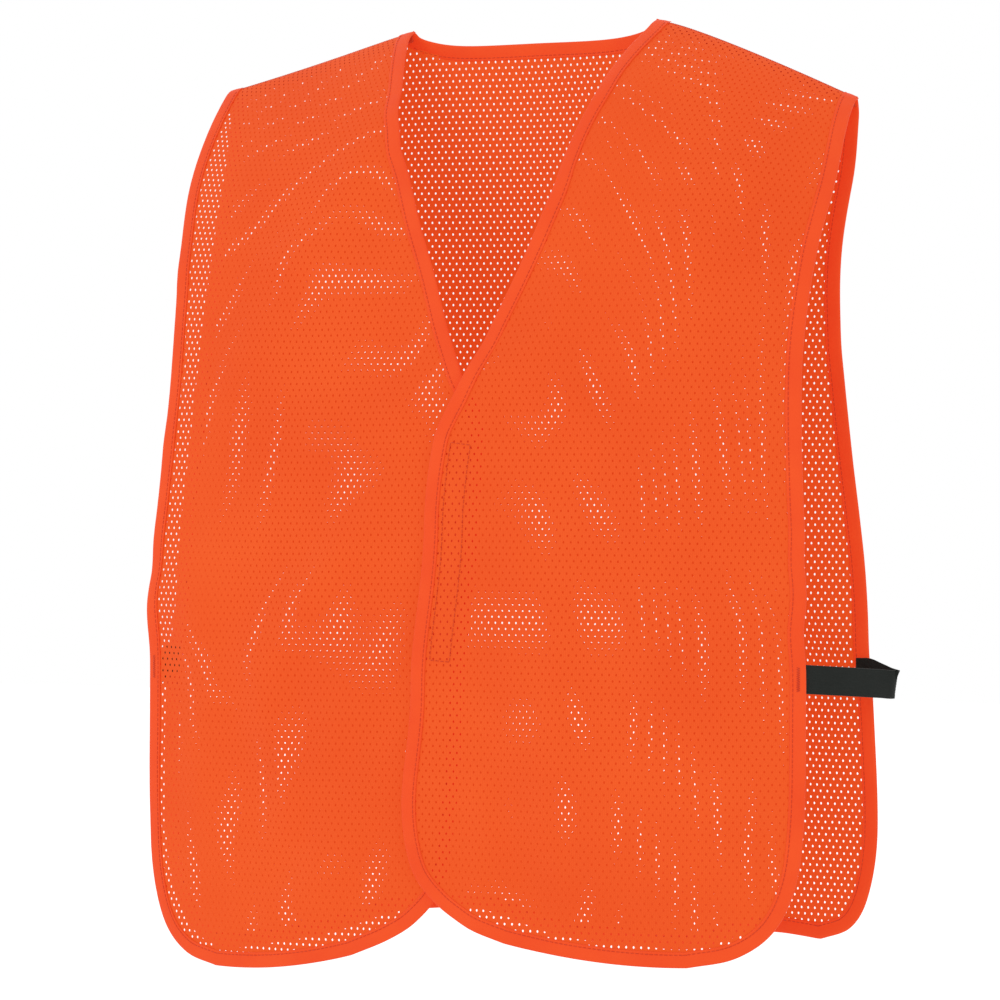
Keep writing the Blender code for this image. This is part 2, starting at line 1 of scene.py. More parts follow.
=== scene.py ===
"""Looks of the high visibility vest: perforated knit, folded tape, thread, hook and loop, and elastic.

Metres, +Z up, the front faces -Y and the wearer's left is at +X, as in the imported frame. Every cloth
panel is a raster of worn points (class Cloth), and all that is sewn to it is placed on that raster.
"""

from math import cos, pi, radians, sin, sqrt

import bpy
import numpy as np
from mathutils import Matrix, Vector


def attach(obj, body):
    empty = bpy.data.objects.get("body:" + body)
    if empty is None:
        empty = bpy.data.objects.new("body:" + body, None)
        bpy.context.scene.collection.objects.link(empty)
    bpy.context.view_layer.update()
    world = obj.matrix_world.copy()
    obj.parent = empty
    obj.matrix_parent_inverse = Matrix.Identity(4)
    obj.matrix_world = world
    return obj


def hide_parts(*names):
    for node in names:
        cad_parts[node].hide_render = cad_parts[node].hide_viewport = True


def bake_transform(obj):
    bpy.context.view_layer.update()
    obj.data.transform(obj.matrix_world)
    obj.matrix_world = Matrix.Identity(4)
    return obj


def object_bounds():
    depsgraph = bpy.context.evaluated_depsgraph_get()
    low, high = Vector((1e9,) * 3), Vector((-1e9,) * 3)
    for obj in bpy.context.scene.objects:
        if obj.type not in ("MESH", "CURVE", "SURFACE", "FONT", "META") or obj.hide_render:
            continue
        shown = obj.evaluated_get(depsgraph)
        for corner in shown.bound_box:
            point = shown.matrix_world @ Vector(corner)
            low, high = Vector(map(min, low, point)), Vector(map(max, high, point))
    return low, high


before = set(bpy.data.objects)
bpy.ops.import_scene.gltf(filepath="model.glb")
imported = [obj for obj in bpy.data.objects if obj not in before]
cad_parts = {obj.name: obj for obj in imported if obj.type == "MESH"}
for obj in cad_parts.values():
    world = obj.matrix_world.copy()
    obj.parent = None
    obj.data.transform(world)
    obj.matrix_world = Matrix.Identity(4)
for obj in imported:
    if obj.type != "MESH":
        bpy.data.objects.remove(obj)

CAD_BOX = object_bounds()

CAMERA_TARGET = Vector((-0.0221, -0.0089, -0.331))
CAMERA_FORWARD = Vector((-0.4067, 0.9135, 0.0))
CAMERA_DISTANCE = 2.95
CAMERA_LENS = 151.7
# Lamps as (name, place, size, watts). They face the middle of the vest.
LAMPS = [("key", (-0.9, -2.5, 0.9), 1.6, 16.0), ("fill", (2.4, -1.4, 0.2), 1.4, 5.0)]
LAMP_AIM = Vector((0.0, 0.0, -0.33))
FLOOR_DROP = 0.12
FLOOR_HALF = 6.0

# Driving dimensions of the worn vest.
NECK_HALF_WIDTH = 0.093
SHOULDER_HALF_WIDTH = 0.238
SHOULDER_DROP = 0.051
SHOULDER_SOFTNESS = 0.02
FRONT_LENGTH = 0.643
BACK_LENGTH = 0.606
BACK_HANG = 0.007
FRONT_DEPTH = 0.150
FRONT_REACH = 0.100
FRONT_SIDE_FALL = 0.24
FRONT_ROUNDNESS = 2.4
BACK_SEAT = 0.0026
BACK_DEPTH = 0.014
BACK_REACH = 0.075
BACK_TURN = 0.068
BACK_TURN_WIDTH = 0.235
BACK_TURN_REACH = 0.090
BACK_TURN_EASE = 0.12
BACK_EASE_TOP = -0.30
BACK_EASE_SPAN = 0.30
BODY_HALF_WIDTH = 0.248
CREST_RADIUS = 0.004
SEAT_SPAN = 0.012
OVERLAP_LIFT = 0.0028
OVERLAP_CORE = 0.030
OVERLAP_FADE = 0.120
HANG = {"left": 0.007, "right": -0.007}
SIDE_SIGN = {"left": 1.0, "right": -1.0}

# The wearer's left shoulder tip droops and the right one is raised.
TIP_TILT = 0.0115
TIP_TILT_START = 0.10
TIP_TILT_REACH = 0.13

CLOSING_LINE = [(0.0, 0.02), (0.001, -0.02), (0.0115, -0.18), (0.0105, -0.25), (0.003, -0.35),
                (-0.006, -0.46), (-0.013, -0.56), (-0.014, -0.68)]
FRONT_INNER_EDGE = [(0.093, -0.003), (0.083, -0.030), (0.067, -0.082), (0.048, -0.140), (0.024, -0.197),
                    (0.001, -0.245), (-0.0130, -0.277), (-0.0172, -0.305), (-0.0172, -0.400),
                    (-0.0172, -0.480), (-0.0172, -0.540), (-0.0095, -0.582), (0.0080, -0.605),
                    (0.0300, -0.6190), (0.0600, -0.6300)]
FRONT_OUTER_EDGE = [(0.238, -0.051), (0.2405, -0.110), (0.2350, -0.170), (0.2325, -0.240),
                    (0.2370, -0.320), (0.2430, -0.400), (0.2425, -0.480), (0.2415, -0.545),
                    (0.2370, -0.588), (0.2250, -0.618), (0.2040, -0.6355), (0.1760, -0.6425)]
FRONT_HEM_BULGE = 0.004
BACK_OUTER_EDGE = [(0.2380, -0.052), (0.2385, -0.102), (0.2375, -0.164), (0.2415, -0.223), (0.2510, -0.301),
                   (0.2600, -0.369), (0.2645, -0.438), (0.2660, -0.497), (0.2645, -0.556), (0.2570, -0.593),
                   (0.2440, -0.614), (0.2225, -0.622)]
BACK_NECK_DROP = 0.003
BACK_NECK_DIP = 0.012
BACK_NECK_SQUARENESS = 5

# Two lobes where the back's hem hangs lower, as (sideways place, half width, drop).
HEM_LOBES = [(0.065, 0.090, 0.024), (-0.185, 0.065, 0.012)]
HEM_LOBE_RISE = 8

# Knit: staggered rows of holes, each hole a share of the hexagon between its neighbours.
HOLE_PITCH = 0.0050
HOLE_ROW = 0.00415
HOLE_WIDTH_SHARE = 0.225
HOLE_HEIGHT_SHARE = 0.325
KNIT_RELIEF = 0.00012
EDGE_INSIDE_TAPE = 0.0015

# Tape and thread.
TAPE_STEP = 0.0025
TAPE_END_OVERHANG = 0.0012
PUCKER_WAVES = (0.009, 0.014, 0.031, 0.077)
PUCKER_SHARE = 0.10
STITCH_INSET = 0.0076
STITCH_LIFT = 0.0010
STITCH_MARGIN = 0.006
STITCH_LENGTH = 0.0027
STITCH_PITCH = 0.0033
THREAD_RADIUS = 0.00028

# Bar tacks and overlocked shoulder seams.
TACK_STITCHES = 22
TACK_LENGTH = 0.0150
TACK_LEAN = 0.3
TACK_INSET = 0.0040
TACK_LIFT = 0.0012
TACK_STITCH = 0.0026
TACK_RADIUS = 0.00034
SEAM_END_GAP = 0.001
SEAM_FACE = [(0.0003, 0.0007), (0.0030, 0.0008), (0.0062, 0.0006)]
SEAM_STEP = 0.0014
SEAM_MIDDLE = 0.0034
SEAM_LIFT = 0.0009

# Hook and loop strips, and the elastic straps.
FASTENER_WIDTH = 0.019
FASTENER_ASIDE = 0.0023
FASTENER_TOP = -0.291
FASTENER_LENGTH = 0.150
FASTENER_STATIONS = 61
FASTENER_THICKNESS = 0.0008
FASTENER_BEVEL = 0.0003
FASTENER_OFFSET = 0.0010
FASTENER_STITCH_INSET = 0.0022
FASTENER_SEED = {"left": 7, "right": 8}
THREAD_LIFT = 0.0005
TUFT_ROWS = 92
TUFT_COLUMNS = 13
TUFT_MARGIN = 0.0018
TUFT_LIFT = {"left": 0.0007, "right": 0.0005}
HOOK_LENGTH = 0.0008
HOOK_RADIUS = 0.00016
LOOP_LENGTH = 0.0022
LOOP_RADIUS = 0.00013
LOOP_STRAY = 0.0006
STRAP_WIDTH = 0.019
STRAP_THICKNESS = 0.0012
STRAP_HEIGHT = {"front": -0.447, "fold": -0.453, "back": -0.444}
STRAP_FOLD = {"left": (0.2826, -0.0515), "right": (0.2705, -0.0515)}
STRAP_FOLD_RADIUS = {"left": 0.0035, "right": 0.0020}
STRAP_RIBS = 10
STRAP_TONGUE = 0.0085
SEWN_REACH = 0.0105
STRAP_FOLD_TILT = 0.11
STRAP_SLACK = 0.0012
STRAP_INSIDE = 0.0018
# Two distances outside the line between the strap's sewn ends; the places at them are worked out but not
# used.
STRAP_SWING = (0.0005, 0.0050)

# Folds drawn into the worn panels: a line from (x, z) to (x, z), the ridge's height and half its width.
FRONT_FOLDS = {
    "right": [((-0.060, -0.050), (-0.200, -0.300), 0.0050, 0.028),
              ((-0.030, -0.280), (-0.135, -0.450), 0.0045, 0.024),
              ((-0.080, -0.400), (-0.100, -0.640), 0.0060, 0.032),
              ((-0.190, -0.350), (-0.200, -0.630), 0.0045, 0.024),
              ((-0.110, -0.160), (-0.215, -0.170), 0.0025, 0.018),
              ((-0.145, -0.420), (-0.120, -0.560), 0.0035, 0.018)],
    "left": [((0.100, -0.030), (0.055, -0.300), 0.0045, 0.026),
             ((0.080, -0.350), (0.085, -0.640), 0.0055, 0.028),
             ((0.140, -0.330), (0.155, -0.640), 0.0050, 0.026),
             ((0.195, -0.360), (0.205, -0.630), 0.0045, 0.022),
             ((0.190, -0.080), (0.110, -0.260), 0.0040, 0.024),
             ((0.060, -0.240), (0.170, -0.360), 0.0030, 0.022)]}
BACK_FOLDS = [((-0.150, -0.180), (-0.165, -0.600), 0.0050, 0.030),
              ((-0.050, -0.250), (-0.060, -0.610), 0.0055, 0.028),
              ((0.060, -0.200), (0.050, -0.620), 0.0060, 0.030),
              ((0.155, -0.160), (0.170, -0.600), 0.0050, 0.028),
              ((-0.080, -0.035), (-0.180, -0.200), 0.0035, 0.024),
              ((0.080, -0.035), (0.185, -0.210), 0.0035, 0.024)]
FOLD_TOP = 0.050
FOLD_CALM = (0.030, 0.090)
FOLD_CALM_SHARE = 0.25

# The hanging cloth: every second raster point, a little slack, over a body form just inside it.
HANG_SKIP = 2
HANG_FRAMES = 40
PINNED_DEPTH = 0.010
HANG_SLACK = 0.012
HANG_BAND = 0.060
HANG_SAG_SHARE = 0.25
HANG_SMOOTHING = 4
FORM_GAP = 0.0045
MOST_SHIFT = 0.008
# How firmly the fastener and the straps' sewn ends hold the hanging cloth, and how far from them.
HELD_STRENGTH = 0.7
HELD_CLOSING_WIDTH = 0.030
HELD_STRAP_RADIUS = 0.020
HELD_ASIDE = {"front": 0.243, "back": 0.265}

# Raster of worn points.
RASTER_HALF_WIDTH = 0.272
RASTER_COLUMNS = 137
RASTER_ROWS = 162
RASTER_DEPTH = 0.672
CREST_CROWDING = 0.03
FLAT_REFERENCE = -0.35


UP = np.array([0.0, 0.0, 1.0])


def smooth_step(s):
    s = np.clip(s, 0.0, 1.0)
    return s * s * (3.0 - 2.0 * s)


def unit(vectors):
    return vectors / np.linalg.norm(vectors, axis=-1, keepdims=True)


def directions(places):
    """Unit vectors along a line at each of its points."""
    return unit(np.gradient(places, axis=0))


def travelled(places):
    """Distance along a line from its start to each of its points."""
    return np.concatenate([[0.0], np.cumsum(np.linalg.norm(np.diff(places, axis=0), axis=1))])


def add_object(name, data):
    made = bpy.data.objects.new(name, data)
    bpy.context.scene.collection.objects.link(made)
    return made


def set_camera():
    """The camera stands a little to the wearer's left, level with the middle of the vest."""
    camera = add_object("camera", bpy.data.cameras.new("camera"))
    camera.location = CAMERA_TARGET - CAMERA_FORWARD * CAMERA_DISTANCE
    camera.rotation_euler = CAMERA_FORWARD.to_track_quat("-Z", "Y").to_euler()
    camera.data.lens = CAMERA_LENS
    camera.data.sensor_width = 36.0
    camera.data.clip_start = 0.05
    bpy.context.scene.camera = camera


def set_light():
    """White surroundings, one broad soft light from in front and a weaker one from the right."""
    scene = bpy.context.scene
    scene.view_settings.view_transform = "Standard"
    world = bpy.data.worlds.new("studio")
    world.use_nodes = True
    background = world.node_tree.nodes["Background"]
    background.inputs["Color"].default_value = (1.0, 1.0, 1.0, 1.0)
    background.inputs["Strength"].default_value = 1.0
    scene.world = world
    for name, place, size, watts in LAMPS:
        lamp = bpy.data.lights.new(name, "AREA")
        lamp.shape = "DISK"
        lamp.size = size
        lamp.energy = watts
        holder = add_object(name, lamp)
        holder.location = place
        holder.rotation_euler = (LAMP_AIM - holder.location).to_track_quat("-Z", "Y").to_euler()


def add_floor():
    mesh = bpy.data.meshes.new("floor")
    z = CAD_BOX[0].z - FLOOR_DROP
    corners = [(FLOOR_HALF * x, FLOOR_HALF * y, z) for x, y in ((-1, -1), (1, -1), (1, 1), (-1, 1))]
    mesh.from_pydata(corners, [], [(0, 1, 2, 3)])
    kind = bpy.data.materials.new("floor")
    kind.use_nodes = True
    shader = kind.node_tree.nodes["Principled BSDF"]
    shader.inputs["Base Color"].default_value = (0.90, 0.90, 0.90, 1.0)
    shader.inputs["Emission Color"].default_value = (1.0, 1.0, 1.0, 1.0)
    shader.inputs["Emission Strength"].default_value = 0.25
    shader.inputs["Roughness"].default_value = 1.0
    shader.inputs["Specular IOR Level"].default_value = 0.0
    mesh.materials.append(kind)
    add_object("floor", mesh)


# ---------------------------------------------------------------- the worn form

def soft_ramp(s):
    return 0.5 * (s + np.sqrt(s * s + SHOULDER_SOFTNESS))


def shoulder_height(x):
    s = (np.abs(x) - NECK_HALF_WIDTH) / (SHOULDER_HALF_WIDTH - NECK_HALF_WIDTH)
    return -SHOULDER_DROP * (soft_ramp(s) - soft_ramp(0.0))


def fall(drop, reach):
    """How far the body has filled out below the shoulder line, over a soft crest at the seam."""
    return 1.0 - np.exp(-np.sqrt(drop * drop + 2.0 * CREST_RADIUS * drop) / reach)


def closing_x(z):
    """Sideways place of the line where the fronts meet, at a height."""
    z = np.asarray(z, float)
    found = np.full(z.shape, CLOSING_LINE[-1][0])
    for (x0, z0), (x1, z1) in reversed(list(zip(CLOSING_LINE, CLOSING_LINE[1:]))):
        inside = (z <= z0) & (z >= z1)
        found = np.where(inside, x0 + (x1 - x0) * smooth_step((z0 - z) / (z0 - z1)), found)
    return np.where(z > CLOSING_LINE[0][1], CLOSING_LINE[0][0], found)


def front_depth(side):
    lift = OVERLAP_LIFT * SIDE_SIGN[side]

    def depth(x, drop, z):
        rounding = 1.0 - FRONT_SIDE_FALL * (np.abs(x) / BODY_HALF_WIDTH) ** FRONT_ROUNDNESS
        away = (np.abs(x - closing_x(z)) - OVERLAP_CORE) / (OVERLAP_FADE - OVERLAP_CORE)
        lifted = lift * (1.0 - smooth_step(away)) * smooth_step(drop / 0.05)
        return -FRONT_DEPTH * fall(drop, FRONT_REACH) * rounding - lifted

    return depth


def back_depth(x, drop, z):
    turned = 1.0 - np.exp(-((drop / BACK_TURN_REACH) ** 1.5))
    eased = 1.0 - BACK_TURN_EASE * smooth_step((BACK_EASE_TOP - z) / BACK_EASE_SPAN)
    turn = BACK_TURN * turned * eased * smooth_step(np.abs(x) / BACK_TURN_WIDTH)
    seat = BACK_SEAT * smooth_step(drop / SEAT_SPAN)
    return seat + BACK_DEPTH * fall(drop, BACK_REACH) - turn


class Cloth:
    """A worn panel as a raster over sideways place and drop below the shoulder line.

    Rows crowd together at the shoulder's crest. s and t are the flat cloth's coordinates:
    distance along the cloth sideways from the middle, and upward from a reference height.
    """

    def __init__(self, depth, outward):
        self.outward = outward
        self.x = np.linspace(-RASTER_HALF_WIDTH, RASTER_HALF_WIDTH, RASTER_COLUMNS)
        q = np.linspace(0.0, 1.0, RASTER_ROWS)
        self.scale = (sqrt(1.0 + CREST_CROWDING ** 2) - CREST_CROWDING) / RASTER_DEPTH
        drop = (np.sqrt(q * q + CREST_CROWDING ** 2) - CREST_CROWDING) / self.scale
        wide, deep = np.meshgrid(self.x, drop, indexing="ij")
        height = shoulder_height(wide) - deep
        self.points = np.stack([wide, depth(wide, deep, height), height], axis=-1)
        self.flatten(depth)
        tilt = np.clip((np.abs(wide) - TIP_TILT_START) / (SHOULDER_HALF_WIDTH - TIP_TILT_START), 0.0, 1.2)
        self.points[..., 2] -= np.sign(wide) * TIP_TILT * tilt ** 1.5 * np.exp(-deep / TIP_TILT_REACH)
        self.wide, self.deep, self.level = wide, deep, height
        self.find_normals()
        self.form = self.points - self.normals * FORM_GAP

    def shift(self, moves):
        self.points = self.points + moves
        self.find_normals()

    def fold(self, folds, calm_line=None):
        """Raises ridges with hollows beside them, calmer near the shoulder and where the fronts meet."""
        height = sum(ridge(self.wide, self.level, *each) for each in folds)
        height = height * smooth_step(self.deep / FOLD_TOP)
        if calm_line is not None:
            away = np.abs(self.wide - calm_line(self.level))
            share = smooth_step((away - FOLD_CALM[0]) / (FOLD_CALM[1] - FOLD_CALM[0]))
            height = height * (FOLD_CALM_SHARE + (1.0 - FOLD_CALM_SHARE) * share)
        self.shift(self.normals * height[..., None])

    def flatten(self, depth):
        step = np.linalg.norm(np.diff(self.points, axis=1), axis=2)
        down = np.concatenate([np.zeros((len(self.x), 1)), np.cumsum(step, axis=1)], axis=1)
        heights = np.linspace(-RASTER_DEPTH - 0.06, 0.01, 180)
        wide, level = np.meshgrid(self.x, heights, indexing="ij")
        y = depth(wide, np.maximum(shoulder_height(wide) - level, 0.0), level)
        slope = np.hypot(np.diff(y, axis=0), np.diff(wide, axis=0))
        along = np.concatenate([np.zeros((1, len(heights))), np.cumsum(slope, axis=0)])
        along -= along[len(self.x) // 2]
        self.s = np.empty(down.shape)
        self.t = np.empty(down.shape)
        for i in range(len(self.x)):
            z = self.points[i, :, 2]
            self.t[i] = np.interp(-FLAT_REFERENCE, -z, down[i]) - down[i]
            self.s[i] = np.interp(z, heights, along[i])

    def find_normals(self):
        across = np.gradient(self.points, axis=0)
        down = np.gradient(self.points, axis=1)
        self.normals = unit(np.cross(down, across) * -self.outward)

    def index(self, x, z):
        """Raster column and row, with fractions, of places."""
        drop = np.maximum(shoulder_height(x) - z, 0.0)
        q = np.sqrt((drop * self.scale + CREST_CROWDING) ** 2 - CREST_CROWDING ** 2)
        i = (np.asarray(x) - self.x[0]) / (self.x[1] - self.x[0])
        return i, q * (RASTER_ROWS - 1)

    @staticmethod
    def sample(table, i, j):
        i = np.clip(i, 0.0, table.shape[0] - 1.001)
        j = np.clip(j, 0.0, table.shape[1] - 1.001)
        a = i.astype(int)
        b = j.astype(int)
        u = i - a
        v = j - b
        if table.ndim == 3:
            u = u[..., None]
            v = v[..., None]
        low = table[a, b] * (1 - u) + table[a + 1, b] * u
        high = table[a, b + 1] * (1 - u) + table[a + 1, b + 1] * u
        return low * (1 - v) + high * v

    def at(self, i, j, offset=0.0):
        offset = np.asarray(offset)
        if offset.ndim:
            offset = offset[..., None]
        return self.sample(self.points, i, j) + self.sample(self.normals, i, j) * offset

    def place(self, x, z, offset=0.0):
        return self.at(*self.index(np.asarray(x, float), np.asarray(z, float)), offset)

    def normal(self, x, z):
        return unit(self.sample(self.normals, *self.index(np.asarray(x, float), np.asarray(z, float))))

    def flat(self, x, z):
        i, j = self.index(np.asarray(x, float), np.asarray(z, float))
        return self.sample(self.s, i, j), self.sample(self.t, i, j)

    def unflat(self, s, t, rounds=14):
        """Raster places of flat places, by Newton's method, and which lie beyond the shoulder line."""
        slopes = [np.gradient(self.s, axis=0), np.gradient(self.s, axis=1),
                  np.gradient(self.t, axis=0), np.gradient(self.t, axis=1)]
        i = (s * 0.95 - self.x[0]) / (self.x[1] - self.x[0])
        middle = len(self.x) // 2
        j = np.interp(-t, -self.t[middle], np.arange(RASTER_ROWS))
        for _ in range(rounds):
            s_i, s_j, t_i, t_j = [self.sample(slope, i, j) for slope in slopes]
            off_s = s - self.sample(self.s, i, j)
            off_t = t - self.sample(self.t, i, j)
            turn = s_i * t_j - s_j * t_i
            i = np.clip(i + (off_s * t_j - off_t * s_j) / turn, 0.0, len(self.x) - 1.0)
            j = np.clip(j + (off_t * s_i - off_s * t_i) / turn, 0.0, RASTER_ROWS - 1.0)
        beyond = t > self.sample(self.t, i, np.zeros(i.shape)) + 1e-5
        return i, j, beyond


def ridge(x, z, start, end, height, width):
    """Height of one fold: a bell across its line with a hollow on each side, fading at both ends."""
    run_x, run_z = end[0] - start[0], end[1] - start[1]
    length = sqrt(run_x * run_x + run_z * run_z)
    along = ((x - start[0]) * run_x + (z - start[1]) * run_z) / length ** 2
    aside = ((x - start[0]) * run_z - (z - start[1]) * run_x) / (length * width)
    ends = np.exp(-((along - 0.5) / 0.5) ** 4)
    return height * ends * (1.0 - 0.6 * aside ** 2) * np.exp(-0.5 * aside ** 2)


# ---------------------------------------------------------------- hanging

def grid_quads(number):
    """Faces between neighbours of a numbered grid, leaving out the cells with a missing corner (-1)."""
    quads = np.stack([number[:-1, :-1], number[1:, :-1], number[1:, 1:], number[:-1, 1:]], axis=-1)
    quads = quads.reshape(-1, 4)
    return quads[(quads >= 0).all(axis=1)].tolist()


def helper(name, points, faces):
    mesh = bpy.data.meshes.new(name)
    mesh.from_pydata(points.tolist(), [], faces)
    return add_object(name, mesh)


def make_form(cloth):
    """The body that the cloth lies on, just inside the worn panel."""
    points = cloth.form[::HANG_SKIP, ::HANG_SKIP]
    number = np.arange(points.shape[0] * points.shape[1]).reshape(points.shape[:2])
    form = helper("body_form", points.reshape(-1, 3), grid_quads(number))
    form.modifiers.new("collision", "COLLISION")
    form.collision.thickness_outer = 0.001
    form.collision.cloth_friction = 12.0
    form.collision.use_culling = False
    return form


def make_hanging(points, faces, weights):
    """The panel as simulated cloth, held where a weight is over nought."""
    panel = helper("hanging_panel", points, faces)
    group = panel.vertex_groups.new(name="held")
    for index in np.flatnonzero(weights > 0.0):
        group.add([int(index)], float(weights[index]), "REPLACE")
    cloth = panel.modifiers.new("cloth", "CLOTH")
    cloth.point_cache.frame_start = 1
    cloth.point_cache.frame_end = HANG_FRAMES
    settings = cloth.settings
    settings.quality = 6
    settings.mass = 0.05
    settings.tension_stiffness = 30.0
    settings.compression_stiffness = 30.0
    settings.shear_stiffness = 8.0
    settings.bending_stiffness = 0.15
    settings.air_damping = 3.0
    settings.shrink_min = -HANG_SLACK
    settings.vertex_group_mass = "held"
    cloth.collision_settings.distance_min = 0.0015
    cloth.collision_settings.use_self_collision = False
    return panel


def run_cloth(panel):
    """Where the simulated points end."""
    scene = bpy.context.scene
    for frame_number in range(1, HANG_FRAMES + 1):
        scene.frame_set(frame_number)
    mesh = panel.evaluated_get(bpy.context.evaluated_depsgraph_get()).to_mesh()
    found = np.zeros(len(mesh.vertices) * 3, np.float32)
    mesh.vertices.foreach_get("co", found)
    scene.frame_set(1)
    return found.reshape(-1, 3).astype(float)


def spread(moves, known, rounds=60):
    """Fills the grid outside the known points from their neighbours, step by step."""
    moves = np.where(known[..., None], moves, 0.0)
    weight = known.astype(float)
    for _ in range(rounds):
        total = np.pad(moves * weight[..., None], ((1, 1), (1, 1), (0, 0)))
        count = np.pad(weight, 1)
        near = total[2:, 1:-1] + total[:-2, 1:-1] + total[1:-1, 2:] + total[1:-1, :-2]
        share = count[2:, 1:-1] + count[:-2, 1:-1] + count[1:-1, 2:] + count[1:-1, :-2]
        filled = (weight == 0.0) & (share > 0.0)
        moves = np.where(filled[..., None], near / np.maximum(share, 1e-9)[..., None], moves)
        weight = np.where(filled, 1.0, weight)
    return moves


def smoothed(table, rounds):
    for _ in range(rounds):
        wide = np.pad(table, ((1, 1), (1, 1), (0, 0)), mode="edge")
        near = wide[2:, 1:-1] + wide[:-2, 1:-1] + wide[1:-1, 2:] + wide[1:-1, :-2]
        table = 0.5 * table + 0.125 * near
    return table


def hang(cloth, outline, weight_of):
    """Simulates the panel as cloth and moves the raster's points as far as the cloth moved."""
    skip = (slice(None, None, HANG_SKIP), slice(None, None, HANG_SKIP))
    points, wide, level, deep = cloth.points[skip], cloth.wide[skip], cloth.level[skip], cloth.deep[skip]
    places = np.stack([wide.ravel(), level.ravel() - 1e-5], axis=1)
    known = contains(outline, places).reshape(wide.shape)
    number = np.where(known, np.cumsum(known.ravel()).reshape(known.shape) - 1, -1)
    weights = np.maximum(weight_of(wide, level), (deep < PINNED_DEPTH) * 1.0)[known]
    form = make_form(cloth)
    panel = make_hanging(points[known], grid_quads(number), weights)
    ends = run_cloth(panel)
    moves = np.zeros(points.shape)
    moves[known] = ends - points[known]
    bpy.data.objects.remove(panel)
    bpy.data.objects.remove(form)
    length = np.linalg.norm(moves, axis=2, keepdims=True)
    moves *= np.tanh(length / MOST_SHIFT) * MOST_SHIFT / np.maximum(length, 1e-9)
    moves[..., 2] *= HANG_SAG_SHARE
    moves = smoothed(spread(moves, known), HANG_SMOOTHING)
    i, j = np.meshgrid(np.arange(RASTER_COLUMNS), np.arange(RASTER_ROWS), indexing="ij")
    fine = smoothed(Cloth.sample(moves, i / HANG_SKIP, j / HANG_SKIP), 2)
    fine *= smooth_step(cloth.deep / HANG_BAND)[..., None]
    cloth.shift(fine)


# ---------------------------------------------------------------- outlines

def through(points, step):
    """Points about a step apart on a smooth curve through the given points."""
    points = np.asarray(points, float)
    ends = np.vstack([2 * points[0] - points[1], points, 2 * points[-1] - points[-2]])
    dense = []
    share = np.linspace(0.0, 1.0, 24, endpoint=False)[:, None]
    for a, b, c, d in zip(ends, ends[1:], ends[2:], ends[3:]):
        dense.append(0.5 * (2 * b + (c - a) * share + (2 * a - 5 * b + 4 * c - d) * share ** 2
                            + (3 * b - a - 3 * c + d) * share ** 3))
    return resample(np.vstack(dense + [ends[-2]]), step)


def resample(line, step):
    line = np.asarray(line, float)
    lengths = travelled(line)
    count = max(int(round(lengths[-1] / step)), 2)
    wanted = np.linspace(0.0, lengths[-1], count + 1)
    return np.stack([np.interp(wanted, lengths, line[:, k]) for k in range(line.shape[1])], axis=1)


def front_outline(side):
    """The edge of a front from the neck down, along the hem and up to the shoulder tip, as (x, z)."""
    sign = SIDE_SIGN[side]
    inner = through(FRONT_INNER_EDGE, 0.004)
    outer = through(FRONT_OUTER_EDGE, 0.004)[::-1]
    share = np.linspace(0.0, 1.0, 40)[1:-1]
    hem = inner[-1] + (outer[0] - inner[-1]) * share[:, None]
    hem[:, 1] -= 4.0 * FRONT_HEM_BULGE * share * (1.0 - share)
    line = np.vstack([inner, hem, outer])
    line[0, 1] = shoulder_height(line[0, 0])
    line[-1, 1] = shoulder_height(line[-1, 0])
    x = sign * line[:, 0]
    x = x + closing_x(line[:, 1]) * (1.0 - (x / BODY_HALF_WIDTH) ** 2)
    return np.stack([x, line[:, 1] + HANG[side] * (line[:, 1] / FRONT_LENGTH) ** 2], axis=1)


def back_outline():
    """The edge of the back from the left shoulder tip down, along the hem and up to the right tip."""
    edge = through(BACK_OUTER_EDGE, 0.004)
    edge[0, 1] = shoulder_height(edge[0, 0])
    end = edge[-1]
    share = np.linspace(1.0, -1.0, 90)[1:-1]
    hem = np.stack([end[0] * share, end[1] - (BACK_LENGTH + end[1]) * (1.0 - share * share)], axis=1)
    line = np.vstack([edge, hem, edge[::-1] * (-1.0, 1.0)])
    x, share = line[:, 0], -line[:, 1] / BACK_LENGTH
    sag = sum(drop * np.exp(-((x - place) / half) ** 4) for place, half, drop in HEM_LOBES)
    line[:, 1] -= BACK_HANG * (1.0 - x / BODY_HALF_WIDTH) * share ** 2 + sag * share ** HEM_LOBE_RISE
    return line


def neck_outline():
    share = np.linspace(-1.0, 1.0, 60)
    dip = BACK_NECK_DROP + BACK_NECK_DIP * (1.0 - np.abs(share) ** BACK_NECK_SQUARENESS)
    dip *= smooth_step((1.0 - np.abs(share)) / 0.04)
    return np.stack([NECK_HALF_WIDTH * share, shoulder_height(NECK_HALF_WIDTH * share) - dip], axis=1)


def contains(outline, points):
    """Which points lie inside a closed outline."""
    inside = np.zeros(len(points), bool)
    px, pz = points[:, 0], points[:, 1]
    for (x0, z0), (x1, z1) in zip(outline, np.roll(outline, -1, axis=0)):
        if z0 == z1:
            continue
        crosses = (z0 > pz) != (z1 > pz)
        inside ^= crosses & (px < x0 + (pz - z0) * (x1 - x0) / (z1 - z0))
    return inside


def pulled_in(line, width, towards):
    """The open line moved sideways by a width, on the side where the point lies."""
    along = directions(line)
    square = np.stack([-along[:, 1], along[:, 0]], axis=1)
    middle = len(line) // 2
    if np.dot(square[middle], towards - line[middle]) < 0:
        square = -square
    return line + square * width


# ---------------------------------------------------------------- meshes

